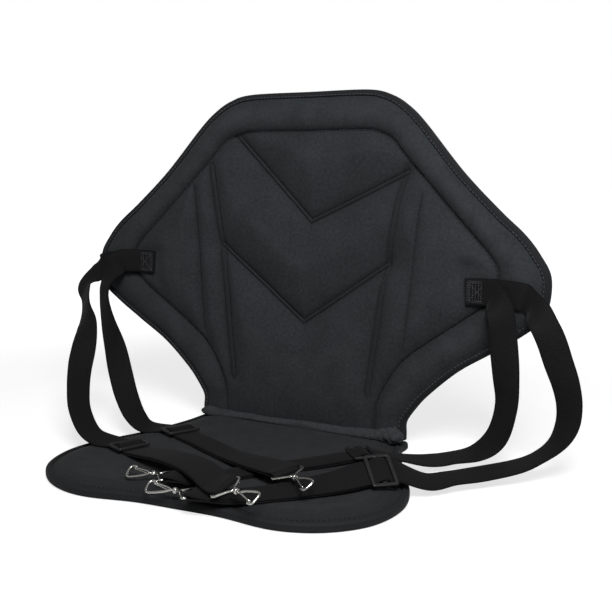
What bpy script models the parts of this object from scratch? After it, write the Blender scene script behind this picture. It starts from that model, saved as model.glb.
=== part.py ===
"""Padded kayak seat: two quilted panels joined by a fabric fold, four webbing straps and swivel snap hooks.

Metres, +Z up. The origin lies on the floor under the middle of the seat pad; the sitter faces -Y.
Flat patterns use u (sideways) and v (away from the fold), and h is the height above the pad's back face.
"""

import math

import bmesh
import bpy
from mathutils import Matrix, Vector
from mathutils.geometry import delaunay_2d_cdt

# Clearances and cloth thicknesses
GAP = 0.0003
CLOTH = 0.0012
TRIANGLE_SIZE = 0.018
PLAIN_TRIANGLE_SIZE = TRIANGLE_SIZE * 1.6
LINE_CLEARANCE = 0.45
CURVE_STEPS = 3
CROWN_POINTS = 60
INSET_SHARE = 0.97

# Seat pad
SEAT_DEPTH = 0.250
SEAT_HALF_NECK = 0.118
SEAT_HALF_WIDTH = 0.168
SEAT_FOAM = 0.0102
SEAT_EDGE = 0.0060
SEAT_EDGE_FADE = 0.020
SEAT_SKEW = math.radians(4.5)
SEAT_SKEW_RUN = 0.060
SEAT_REAR = -0.0015
SEAT_NECK_RUN = 0.0350
SEAT_STRAIGHT = 0.0060

# Backrest pad
BACK_HEIGHT = 0.3385
BACK_HALF_WIDTH = 0.257
BACK_HALF_TOP = 0.092
BACK_HALF_NECK = 0.118
BACK_WING_HEIGHT = 0.155
BACK_RECLINE = math.radians(3.65)
BACK_CURVE_LOW = 0.14
BACK_CURVE_HIGH = 0.80
BACK_EDGE = 0.0070
BACK_SEAM = 0.0085
BACK_RING_RISE = 0.0065
BACK_CENTRE = 0.0130
SEAM_FADE = 0.012
RING_FADE = 0.040

# Sewn channels of the backrest
CHEVRON_HALF = 0.0045
CHEVRON_DEPTH = 0.0042
COLUMN_HALF = 0.0050
COLUMN_DEPTH = 0.0030
SIDE_SEAM_HALF = 0.0030
SIDE_SEAM_DEPTH = 0.0018

# Edge binding
BINDING_LAP = 0.0065

# Fold
GUSSET_HALF = 0.108
GUSSET_RISE = 0.024
WELT_RADIUS = 0.0022
WELT_HALF = 0.117
FOLD_STEPS = 12

# Webbing
WEB_WIDTH = 0.025
WEB_THICK = 0.0015

# Three-bar sliders
SLIDER_THICK = 0.0026
SLIDER_RAIL = 0.0032
SLIDER_BAR = 0.0032
SLIDER_MIDDLE = 0.0040
SLIDER_SLOT = 0.0064
SLIDER_SIDE_PLAY = 0.0010
SLIDER_BEVEL = 0.0005
SLOT_CLEAR = 0.0006
SLIDER_LEAD = 0.0030

# Swivel snap hooks
EYE_WIRE = 0.0010
EYE_HALF = 0.0142
EYE_LENGTH = 0.0120
EYE_APEX_HALF = 0.0022
EYE_CORNER = 0.0018
STEM_HEAD_LENGTH = 0.0008
STEM_HEAD_SCALE = 1.75
FERRULE_RADIUS = 0.0027
FERRULE_LENGTH = 0.0032
FERRULE_WALL_PLAY = 0.0003
FERRULE_SIDES = 12
PIVOT_SPACE = 0.0022
HOOK_WIRE = 0.0010
HOOK_HALF = 0.0059
HOOK_LENGTH = 0.0215
NOSE_LENGTH = 0.0066
NOSE_SHARE = 0.92
GATE_WIRE = 0.0006
GATE_LENGTH = 0.0160
WIRE_SIDES = 2

FABRIC = ((0.030, 0.032, 0.036), 0.85, 0.0)
LINING = ((0.022, 0.023, 0.026), 0.90, 0.0)
TAPE = ((0.018, 0.018, 0.020), 0.80, 0.0)
WEBBING = ((0.014, 0.014, 0.015), 0.75, 0.0)
PLASTIC = ((0.012, 0.012, 0.013), 0.45, 0.0)
NICKEL = ((0.62, 0.61, 0.58), 0.22, 1.0)


def clear_scene():
    """Remove every object that the file opens with."""
    for old in list(bpy.data.objects):
        bpy.data.objects.remove(old, do_unlink=True)


def finish(obj, look):
    """Give an object its own Principled material."""
    colour, roughness, metallic = look
    made = bpy.data.materials.new(obj.name)
    made.use_nodes = True
    shader = made.node_tree.nodes["Principled BSDF"]
    shader.inputs["Base Color"].default_value = (*colour, 1.0)
    shader.inputs["Roughness"].default_value = roughness
    shader.inputs["Metallic"].default_value = metallic
    obj.data.materials.append(made)
    return obj


def mesh_object(name, bm, look):
    """Turn a bmesh into a linked object whose faces point outwards."""
    bmesh.ops.recalc_face_normals(bm, faces=bm.faces)
    mesh = bpy.data.meshes.new(name)
    bm.to_mesh(mesh)
    bm.free()
    obj = bpy.data.objects.new(name, mesh)
    bpy.context.scene.collection.objects.link(obj)
    return finish(obj, look)


def smooth_path(points, steps, closed=False):
    """Catmull-Rom curve through points of any dimension."""
    count = len(points)
    spans = count if closed else count - 1

    def at(index):
        if closed:
            return points[index % count]
        return points[min(max(index, 0), count - 1)]

    path = []
    for span in range(spans):
        a, b, c, d = (at(span + k) for k in (-1, 0, 1, 2))
        for step in range(steps):
            t = step / steps
            weights = (
                (-t + 2 * t * t - t ** 3) / 2,
                (2 - 5 * t * t + 3 * t ** 3) / 2,
                (t + 4 * t * t - 3 * t ** 3) / 2,
                (-t * t + t ** 3) / 2,
            )
            mixed = [sum(w * p[i] for w, p in zip(weights, (a, b, c, d))) for i in range(len(b))]
            path.append(tuple(mixed))
    if not closed:
        path.append(tuple(points[-1]))
    return path


def mirrored(half):
    """Whole path from its right half, which starts on the centre line."""
    left = [(-u, v) for u, v in reversed(half) if u > 0]
    return left + list(half)


def inward_normals(path):
    """Unit normals of an open path, on its right-hand side."""
    normals = []
    for i in range(len(path)):
        before = path[max(i - 1, 0)]
        after = path[min(i + 1, len(path) - 1)]
        run = Vector((after[0] - before[0], after[1] - before[1])).normalized()
        normals.append((run.y, -run.x))
    return normals


def shifted(path, distance):
    """The path moved inwards by a distance."""
    return [(p[0] + n[0] * distance, p[1] + n[1] * distance) for p, n in zip(path, inward_normals(path))]


def distance_to(path, u, v):
    """Shortest distance from a point to an open path."""
    best = 1.0
    for (ax, ay), (bx, by) in zip(path, path[1:]):
        dx, dy = bx - ax, by - ay
        t = ((u - ax) * dx + (v - ay) * dy) / max(dx * dx + dy * dy, 1e-12)
        t = min(max(t, 0.0), 1.0)
        best = min(best, math.hypot(u - ax - t * dx, v - ay - t * dy))
    return best


def is_inside(loop, u, v):
    """Even-odd test of a point against a closed loop."""
    inside = False
    for (ax, ay), (bx, by) in zip(loop, loop[1:] + loop[:1]):
        if (ay > v) != (by > v) and u < (bx - ax) * (v - ay) / (by - ay) + ax:
            inside = not inside
    return inside


def triangulate(outline, lines, spacing):
    """Triangles over a closed outline that keep the given lines as edges."""
    points = [Vector(p) for p in outline]
    edges = [(i, (i + 1) % len(outline)) for i in range(len(outline))]
    for line in lines:
        first = len(points)
        points += [Vector(p) for p in line]
        edges += [(first + i, first + i + 1) for i in range(len(line) - 1)]
    everything = [list(outline) + [outline[0]]] + [list(line) for line in lines]
    low_u, high_u = min(p[0] for p in outline), max(p[0] for p in outline)
    low_v, high_v = min(p[1] for p in outline), max(p[1] for p in outline)
    for row in range(1, int((high_v - low_v) / spacing) + 1):
        for column in range(1, int((high_u - low_u) / spacing) + 1):
            u = low_u + (column + 0.5 * (row % 2)) * spacing
            v = low_v + row * spacing
            if not is_inside(outline, u, v):
                continue
            if min(distance_to(path, u, v) for path in everything) > spacing * LINE_CLEARANCE:
                points.append(Vector((u, v)))
    face = list(range(len(outline)))
    verts, _, faces, sources, _, _ = delaunay_2d_cdt(points, edges, [face], 1, 1e-7)
    place_of = {}
    for index, source in enumerate(sources):
        for original in source:
            place_of[original] = index
    rim = [place_of[i] for i in face]
    return verts, faces, rim


def slab(name, outline, lines, place, top, bottom, look, back_spacing=PLAIN_TRIANGLE_SIZE):
    """Closed solid between two heights over an outline; top may vary and follows the lines."""
    bm = bmesh.new()
    front_points, front_faces, front_rim = triangulate(outline, lines, TRIANGLE_SIZE)
    back_points, back_faces, back_rim = triangulate(outline, [], back_spacing)
    front = [bm.verts.new(place(p.x, p.y, top(p.x, p.y))) for p in front_points]
    back = [bm.verts.new(place(p.x, p.y, bottom)) for p in back_points]
    for face in front_faces:
        bm.faces.new([front[i] for i in face])
    for face in back_faces:
        bm.faces.new([back[i] for i in reversed(face)])
    count = len(front_rim)
    for i in range(count):
        j = (i + 1) % count
        bm.faces.new([front[front_rim[j]], front[front_rim[i]], back[back_rim[i]], back[back_rim[j]]])
    loose = [v for v in bm.verts if not v.link_faces]
    bmesh.ops.delete(bm, geom=loose, context="VERTS")
    return mesh_object(name, bm, look)


def swept(name, sections, look):
    """Closed solid through a row of equal polygons, capped at both ends."""
    bm = bmesh.new()
    rings = [[bm.verts.new(p) for p in section] for section in sections]
    size = len(rings[0])
    for near, far in zip(rings, rings[1:]):
        for i in range(size):
            j = (i + 1) % size
            bm.faces.new([near[i], near[j], far[j], far[i]])
    bm.faces.new(list(reversed(rings[0])))
    bm.faces.new(rings[-1])
    return mesh_object(name, bm, look)


def edge_channel(name, path, edge_height, place):
    """U-shaped binding tape along an open outline, closed over the pad's edge."""
    outside = GAP + CLOTH
    profile = [
        (BINDING_LAP, edge_height + outside),
        (-outside, edge_height + outside),
        (-outside, -outside),
        (BINDING_LAP, -outside),
        (BINDING_LAP, -GAP),
        (-GAP, -GAP),
        (-GAP, edge_height + GAP),
        (BINDING_LAP, edge_height + GAP),
    ]
    normals = inward_normals(path)
    sections = []
    for (u, v), (nu, nv) in zip(path, normals):
        sections.append([place(u + nu * s, v + nv * s, h) for s, h in profile])
    return swept(name, sections, TAPE)


# Seat pattern: v runs from the fold towards the sitter's knees
SEAT_HALF_PATTERN = [
    (0.000, SEAT_DEPTH - 0.0080),
    (0.040, SEAT_DEPTH - 0.0075),
    (0.085, SEAT_DEPTH - 0.0010),
    (0.115, SEAT_DEPTH - 0.0060),
    (0.141, SEAT_DEPTH - 0.0210),
    (SEAT_HALF_WIDTH - 0.008, SEAT_DEPTH - 0.0450),
    (SEAT_HALF_WIDTH, SEAT_DEPTH - 0.0800),
    (SEAT_HALF_WIDTH - 0.006, SEAT_DEPTH - 0.1150),
    (SEAT_HALF_WIDTH - 0.025, SEAT_NECK_RUN + (SEAT_DEPTH - SEAT_NECK_RUN) * 0.28),
    (SEAT_HALF_NECK + 0.013, SEAT_NECK_RUN + 0.0300),
    (SEAT_HALF_NECK + 0.003, SEAT_NECK_RUN),
    (SEAT_HALF_NECK, SEAT_STRAIGHT * 2),
    (SEAT_HALF_NECK, SEAT_STRAIGHT),
    (SEAT_HALF_NECK, SEAT_REAR),
]

# Backrest pattern: v runs from the fold to the top edge
BACK_HALF_PATTERN = [
    (0.000, BACK_HEIGHT),
    (BACK_HALF_TOP - 0.026, BACK_HEIGHT - 0.0005),
    (BACK_HALF_TOP, BACK_HEIGHT - 0.0065),
    (BACK_HALF_TOP + 0.019, BACK_HEIGHT - 0.0180),
    (BACK_HALF_TOP + 0.037, BACK_HEIGHT - 0.0350),
    (BACK_HALF_TOP + 0.077, BACK_HEIGHT - 0.0800),
    (BACK_HALF_WIDTH - 0.050, BACK_WING_HEIGHT + 0.0680),
    (BACK_HALF_WIDTH - 0.027, BACK_WING_HEIGHT + 0.0485),
    (BACK_HALF_WIDTH - 0.012, BACK_WING_HEIGHT + 0.0310),
    (BACK_HALF_WIDTH - 0.001, BACK_WING_HEIGHT + 0.0100),
    (BACK_HALF_WIDTH - 0.005, BACK_WING_HEIGHT - 0.0220),
    (BACK_HALF_WIDTH - 0.021, BACK_WING_HEIGHT - 0.0380),
    (BACK_HALF_WIDTH - 0.054, BACK_WING_HEIGHT - 0.0600),
    (BACK_HALF_WIDTH - 0.087, BACK_WING_HEIGHT - 0.0810),
    (BACK_HALF_NECK + 0.022, BACK_WING_HEIGHT - 0.1075),
    (BACK_HALF_NECK + 0.008, BACK_WING_HEIGHT - 0.1240),
    (BACK_HALF_NECK, 0.0180),
    (BACK_HALF_NECK, 0.0070),
    (BACK_HALF_NECK, 0.0000),
]

# Seam between the backrest's raised border and its centre
RING_HALF_PATTERN = [
    (0.000, BACK_HEIGHT - 0.0375),
    (0.065, BACK_HEIGHT - 0.0375),
    (0.086, BACK_HEIGHT - 0.0415),
    (0.100, BACK_HEIGHT - 0.0495),
    (0.112, BACK_HEIGHT - 0.0630),
    (0.168, BACK_HEIGHT - 0.1205),
    (0.198, BACK_WING_HEIGHT + 0.0330),
    (0.209, BACK_WING_HEIGHT + 0.0180),
    (0.210, BACK_WING_HEIGHT + 0.0020),
    (0.200, BACK_WING_HEIGHT - 0.0150),
    (0.176, BACK_WING_HEIGHT - 0.0330),
    (0.144, BACK_WING_HEIGHT - 0.0550),
    (0.116, BACK_WING_HEIGHT - 0.0770),
    (0.099, BACK_WING_HEIGHT - 0.1020),
    (0.090, BACK_WING_HEIGHT - 0.1230),
    (0.087, 0.0120),
    (0.087, -0.0010),
]

CHEVRON_HIGH = [(-0.0820, BACK_HEIGHT - 0.0425), (0.0070, 0.2100), (0.1140, BACK_HEIGHT - 0.0790)]
CHEVRON_LOW = [(-0.0990, 0.1830), (0.0015, 0.1070), (0.0960, 0.1710)]
COLUMN_HALF_PATTERN = [
    (0.1135, 0.2650), (0.1010, 0.1960), (0.0930, 0.1450), (0.0860, 0.0880), (0.0800, 0.0420),
]
SIDE_SEAM_HALF_PATTERN = [(0.1340, 0.2420), (0.1285, 0.2000), (0.1235, 0.1450), (0.1175, 0.0880)]


def seat_place(u, v, h):
    """World point of the seat pattern; a skew behind the fold turns the pad slightly."""
    turn = SEAT_SKEW * min(max(v / SEAT_SKEW_RUN, 0.0), 1.0)
    x = u * math.cos(turn) + v * math.sin(turn)
    y = SEAT_DEPTH / 2 + u * math.sin(turn) - v * math.cos(turn)
    return (x, y, CLOTH + GAP + h)


def back_curve(v):
    """Sideways curvature of the backrest, which grows towards its top."""
    return BACK_CURVE_LOW + (BACK_CURVE_HIGH - BACK_CURVE_LOW) * v / BACK_HEIGHT


FOLD_HEIGHT = CLOTH + GAP + SEAT_FOAM + GAP


def back_place(u, v, h):
    """World point of the backrest pattern, h in front of its back face."""
    bend = back_curve(v)
    angle = bend * u
    sag = (1.0 - math.cos(angle)) / bend + h * math.cos(angle)
    x = math.sin(angle) / bend - h * math.sin(angle)
    y = SEAT_DEPTH / 2 + v * math.sin(BACK_RECLINE) - sag * math.cos(BACK_RECLINE)
    z = FOLD_HEIGHT + v * math.cos(BACK_RECLINE) + sag * math.sin(BACK_RECLINE)
    return (x, y, z)


def groove(path, half, depth, u, v):
    """How far a sewn channel pulls the pad down at a point."""
    return depth * max(0.0, 1.0 - distance_to(path, u, v) / half)


SEAT_EDGE_PATH = mirrored(smooth_path(SEAT_HALF_PATTERN, CURVE_STEPS))
BACK_EDGE_PATH = mirrored(smooth_path(BACK_HALF_PATTERN, CURVE_STEPS))
RING_PATH = mirrored(smooth_path(RING_HALF_PATTERN, CURVE_STEPS - 1))
COLUMN_RIGHT = smooth_path(COLUMN_HALF_PATTERN, CURVE_STEPS - 2)
COLUMN_LEFT = [(-u, v) for u, v in COLUMN_RIGHT]
SIDE_SEAM_RIGHT = smooth_path(SIDE_SEAM_HALF_PATTERN, CURVE_STEPS - 2)
SIDE_SEAM_LEFT = [(-u, v) for u, v in SIDE_SEAM_RIGHT]


def seat_height(u, v):
    """Thickness of the seat pad, thin under its binding and full at the fold."""
    inside = distance_to(SEAT_EDGE_PATH, u, v) - BINDING_LAP - GAP
    rise = min(max(inside / SEAT_EDGE_FADE, 0.0), 1.0)
    return SEAT_EDGE + (SEAT_FOAM - SEAT_EDGE) * (1.0 - (1.0 - rise) ** 2)


def back_height(u, v):
    """Thickness of the backrest pad: raised border, sunk seam and quilted centre."""
    seam = distance_to(RING_PATH, u, v)
    if is_inside(RING_PATH, u, v):
        fade = min(seam / SEAM_FADE, 1.0)
        centre = BACK_SEAM + (BACK_CENTRE - BACK_SEAM) * (1.0 - (1.0 - fade) ** 2)
        for path in (CHEVRON_HIGH, CHEVRON_LOW):
            centre -= groove(path, CHEVRON_HALF, CHEVRON_DEPTH * fade, u, v)
        for path in (COLUMN_LEFT, COLUMN_RIGHT):
            centre -= groove(path, COLUMN_HALF, COLUMN_DEPTH * fade, u, v)
        for path in (SIDE_SEAM_LEFT, SIDE_SEAM_RIGHT):
            centre -= groove(path, SIDE_SEAM_HALF, SIDE_SEAM_DEPTH * fade, u, v)
        return centre
    edge = max(distance_to(BACK_EDGE_PATH, u, v) - BINDING_LAP - GAP, 0.0)
    across = edge / max(edge + seam, 1e-9)
    rise = BACK_RING_RISE * min(1.0, 0.2 + v / RING_FADE)
    return BACK_EDGE + (BACK_SEAM - BACK_EDGE) * across + rise * math.sin(math.pi * across) ** 0.8


def evenly(path, step):
    """Points of a path at about equal steps, its corners kept."""
    made = []
    for a, b in zip(path, path[1:]):
        parts = max(1, round(math.dist(a, b) / step))
        made += [(a[0] + (b[0] - a[0]) * k / parts, a[1] + (b[1] - a[1]) * k / parts) for k in range(parts)]
    return made + [path[-1]]


def channel_lines(path, half):
    """Centre line and both shoulders of a sewn channel."""
    line = evenly(path, TRIANGLE_SIZE)
    return [line, shifted(line, half), shifted(line, -half)]


def inner_loop(path, inset):
    """An edge path moved in past its binding, thinned of points that would cross."""
    return [p for p in shifted(path, inset) if distance_to(path, *p) > inset * INSET_SHARE]


def with_fold_edge(path):
    """Closed outline of a pad: its bound edge, then points along the fold."""
    inner = inner_loop(path, BINDING_LAP + GAP)
    return path + evenly([inner[-1], inner[0]], TRIANGLE_SIZE)


def panel_outline(path):
    """Closed outline of the cloth between the binding's edges, with points along the fold."""
    inner = inner_loop(path, BINDING_LAP + GAP)
    return inner[:-1] + evenly([inner[-1], inner[0]], TRIANGLE_SIZE)[:-1]


def build_backrest():
    """Quilted pad, rear panel and binding of the backrest."""
    pairs = zip(resampled(BACK_EDGE_PATH, CROWN_POINTS), resampled(RING_PATH, CROWN_POINTS))
    crown = [((a[0] + b[0]) / 2, (a[1] + b[1]) / 2) for a, b in pairs]
    lines = [inner_loop(BACK_EDGE_PATH, BINDING_LAP + GAP)]
    for path in (crown, RING_PATH, shifted(RING_PATH, SEAM_FADE)):
        lines.append([p for p in path if p[1] > CLOTH])
    for path in (CHEVRON_HIGH, CHEVRON_LOW):
        lines += channel_lines(path, CHEVRON_HALF)
    for path in (COLUMN_LEFT, COLUMN_RIGHT):
        lines += channel_lines(path, COLUMN_HALF)
    for path in (SIDE_SEAM_LEFT, SIDE_SEAM_RIGHT):
        lines += channel_lines(path, SIDE_SEAM_HALF)
    slab("backrest_pad", with_fold_edge(BACK_EDGE_PATH), lines, back_place, back_height, 0.0, FABRIC)
    rear = panel_outline(BACK_EDGE_PATH)
    slab("backrest_rear_panel", rear, [], back_place, lambda u, v: -GAP, -GAP - CLOTH, LINING, TRIANGLE_SIZE)
    edge_channel("backrest_binding", BACK_EDGE_PATH, BACK_EDGE, back_place)


def resampled(path, count):
    """A path as a given number of points at equal steps along it."""
    lengths = [0.0]
    for a, b in zip(path, path[1:]):
        lengths.append(lengths[-1] + math.dist(a, b))
    made = []
    span = 0
    for k in range(count):
        goal = lengths[-1] * k / (count - 1)
        while span < len(path) - 2 and lengths[span + 1] < goal:
            span += 1
        t = (goal - lengths[span]) / max(lengths[span + 1] - lengths[span], 1e-12)
        made.append(tuple(a + (b - a) * t for a, b in zip(path[span], path[span + 1])))
    return made


def build_seat():
    """Padded seat, its flat underside and its binding."""
    lines = [inner_loop(SEAT_EDGE_PATH, BINDING_LAP + GAP)]
    lines.append(inner_loop(SEAT_EDGE_PATH, BINDING_LAP + SEAT_EDGE_FADE)[1:-1])
    slab("seat_pad", with_fold_edge(SEAT_EDGE_PATH), lines, seat_place, seat_height, 0.0, FABRIC)
    under = panel_outline(SEAT_EDGE_PATH)
    slab("seat_underside", under, [], seat_place, lambda u, v: -GAP, -GAP - CLOTH, LINING)
    edge_channel("seat_binding", SEAT_EDGE_PATH, SEAT_EDGE, seat_place)


def tube(name, points, radius, look, closed=False, radii=None):
    """Round wire or cord along points, as a bevelled curve with filled ends."""
    curve = bpy.data.curves.new(name, "CURVE")
    curve.dimensions = "3D"
    curve.bevel_depth = radius
    curve.bevel_resolution = WIRE_SIDES
    curve.use_fill_caps = True
    spline = curve.splines.new("POLY")
    spline.points.add(len(points) - 1)
    for index, point in enumerate(points):
        spline.points[index].co = (*point, 1.0)
        spline.points[index].radius = radii[index] if radii else 1.0
    spline.use_cyclic_u = closed
    obj = bpy.data.objects.new(name, curve)
    bpy.context.scene.collection.objects.link(obj)
    return finish(obj, look)


def build_fold():
    """Fabric strip behind the fold and the welt that lies in its crease."""
    rear = SEAT_DEPTH / 2 - SEAT_REAR + GAP + CLOTH / 2
    behind = -(GAP + CLOTH) - GAP - CLOTH / 2
    spine = [(rear, GAP), (rear, FOLD_HEIGHT * 0.5), (rear, FOLD_HEIGHT)]
    for k in range(1, 5):
        point = back_place(0.0, GUSSET_RISE * k / 4, behind)
        spine.append((max(point[1], rear), point[2]))
    half = CLOTH / 2
    profile = [(y - half, z) for y, z in spine] + [(y + half, z) for y, z in reversed(spine)]
    sections = []
    for k in range(FOLD_STEPS + 1):
        x = -GUSSET_HALF + 2 * GUSSET_HALF * k / FOLD_STEPS
        lean = SEAT_DEPTH / 2 - back_place(x, 0.0, 0.0)[1]
        section = []
        for y, z in profile:
            share = min(max(z - FOLD_HEIGHT, 0.0) / GUSSET_RISE, 1.0)
            section.append((x, y - lean * share, z))
        sections.append(section)
    swept("fold_gusset", sections, LINING)
    front = back_place(0.0, WELT_RADIUS, BACK_CENTRE + GAP + WELT_RADIUS)
    seat_top = CLOTH + GAP + SEAT_FOAM
    crease = []
    for k in range(FOLD_STEPS + 1):
        x = -WELT_HALF + 2 * WELT_HALF * k / FOLD_STEPS
        sag = SEAT_DEPTH / 2 - back_place(x, 0.0, 0.0)[1]
        crease.append((x, front[1] - sag - GAP, seat_top + GAP + WELT_RADIUS))
    tube("fold_welt", crease, WELT_RADIUS, FABRIC)


def frame_matrix(place, heading, pitch, lean):
    """Local axes: X along a heading and pitch, Y to its left, leaned about X."""
    turn = Matrix.Rotation(heading, 4, "Z") @ Matrix.Rotation(-pitch, 4, "Y") @ Matrix.Rotation(lean, 4, "X")
    return Matrix.Translation(Vector(place)) @ turn


SLIDER_HALF = SLIDER_MIDDLE / 2 + SLIDER_SLOT + SLIDER_BAR
SLIDER_ACROSS = WEB_WIDTH / 2 + SLIDER_SIDE_PLAY


def slider_mesh():
    """Frame with two slots, made from a grid of cells and extruded."""
    cuts_x = [-SLIDER_HALF, -SLIDER_MIDDLE / 2 - SLIDER_SLOT, -SLIDER_MIDDLE / 2,
              SLIDER_MIDDLE / 2, SLIDER_MIDDLE / 2 + SLIDER_SLOT, SLIDER_HALF]
    cuts_y = [-SLIDER_ACROSS - SLIDER_RAIL, -SLIDER_ACROSS, SLIDER_ACROSS, SLIDER_ACROSS + SLIDER_RAIL]
    bm = bmesh.new()
    grid = [[bm.verts.new((x, y, -SLIDER_THICK / 2)) for y in cuts_y] for x in cuts_x]
    for i in range(5):
        for j in range(3):
            if j == 1 and i in (1, 3):
                continue
            bm.faces.new([grid[i][j], grid[i + 1][j], grid[i + 1][j + 1], grid[i][j + 1]])
    raised = bmesh.ops.extrude_face_region(bm, geom=list(bm.faces))["geom"]
    moved = [item for item in raised if isinstance(item, bmesh.types.BMVert)]
    bmesh.ops.translate(bm, verts=moved, vec=(0.0, 0.0, SLIDER_THICK))
    bmesh.ops.recalc_face_normals(bm, faces=bm.faces)
    mesh = bpy.data.meshes.new("slider")
    bm.to_mesh(mesh)
    bm.free()
    return mesh


def build_slider(name, mesh, matrix):
    """One slider, a bevelled copy of the shared frame."""
    obj = bpy.data.objects.new(name, mesh.copy())
    bpy.context.scene.collection.objects.link(obj)
    obj.matrix_world = matrix
    bevel = obj.modifiers.new("edges", "BEVEL")
    bevel.width = SLIDER_BEVEL
    bevel.segments = 1
    bevel.limit_method = "ANGLE"
    return finish(obj, PLASTIC)


# Heights of the webbing's middle above a slider's own middle
BELOW_BAR = -(SLIDER_THICK / 2 + GAP + WEB_THICK / 2)
OVER_BAR = -BELOW_BAR
LAYER_STEP = WEB_THICK + GAP
SLOT_NEAR = SLIDER_MIDDLE / 2 + SLOT_CLEAR
SLOT_FAR = SLIDER_MIDDLE / 2 + SLIDER_SLOT - SLOT_CLEAR
EXIT_RUN = SLIDER_HALF + SLIDER_LEAD
WRAP_RADIUS = EYE_WIRE + GAP + WEB_THICK / 2
BAR_APPROACH = 0.0090
WRAP_SPREAD_RUN = 0.014
WRAP_STEPS = 6
RUN_STEPS = 5


class Hook:
    """Place of a snap hook: its eye's bar, the way it points, and the roll of its hook."""

    def __init__(self, bar, heading, pitch, lean, roll):
        self.bar = Vector(bar)
        self.frame = frame_matrix(bar, math.radians(heading), math.radians(pitch), math.radians(lean))
        straight = frame_matrix(bar, math.radians(heading), math.radians(pitch), 0.0)
        self.body_frame = straight @ Matrix.Rotation(math.radians(roll), 4, "X")


class Strap:
    """Route of one strap: sewn start on a wing, free loop, slider, doubled run and hook."""

    def __init__(self, side, wing, free, slider, run, hook):
        self.side = side
        self.wing = wing
        self.free = free
        place, heading, pitch, lean = slider
        self.slider = frame_matrix(place, math.radians(heading), math.radians(pitch), math.radians(lean))
        self.run = run
        self.hook = hook


WING_LAYER = BACK_CENTRE + GAP + WEB_THICK / 2

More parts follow.
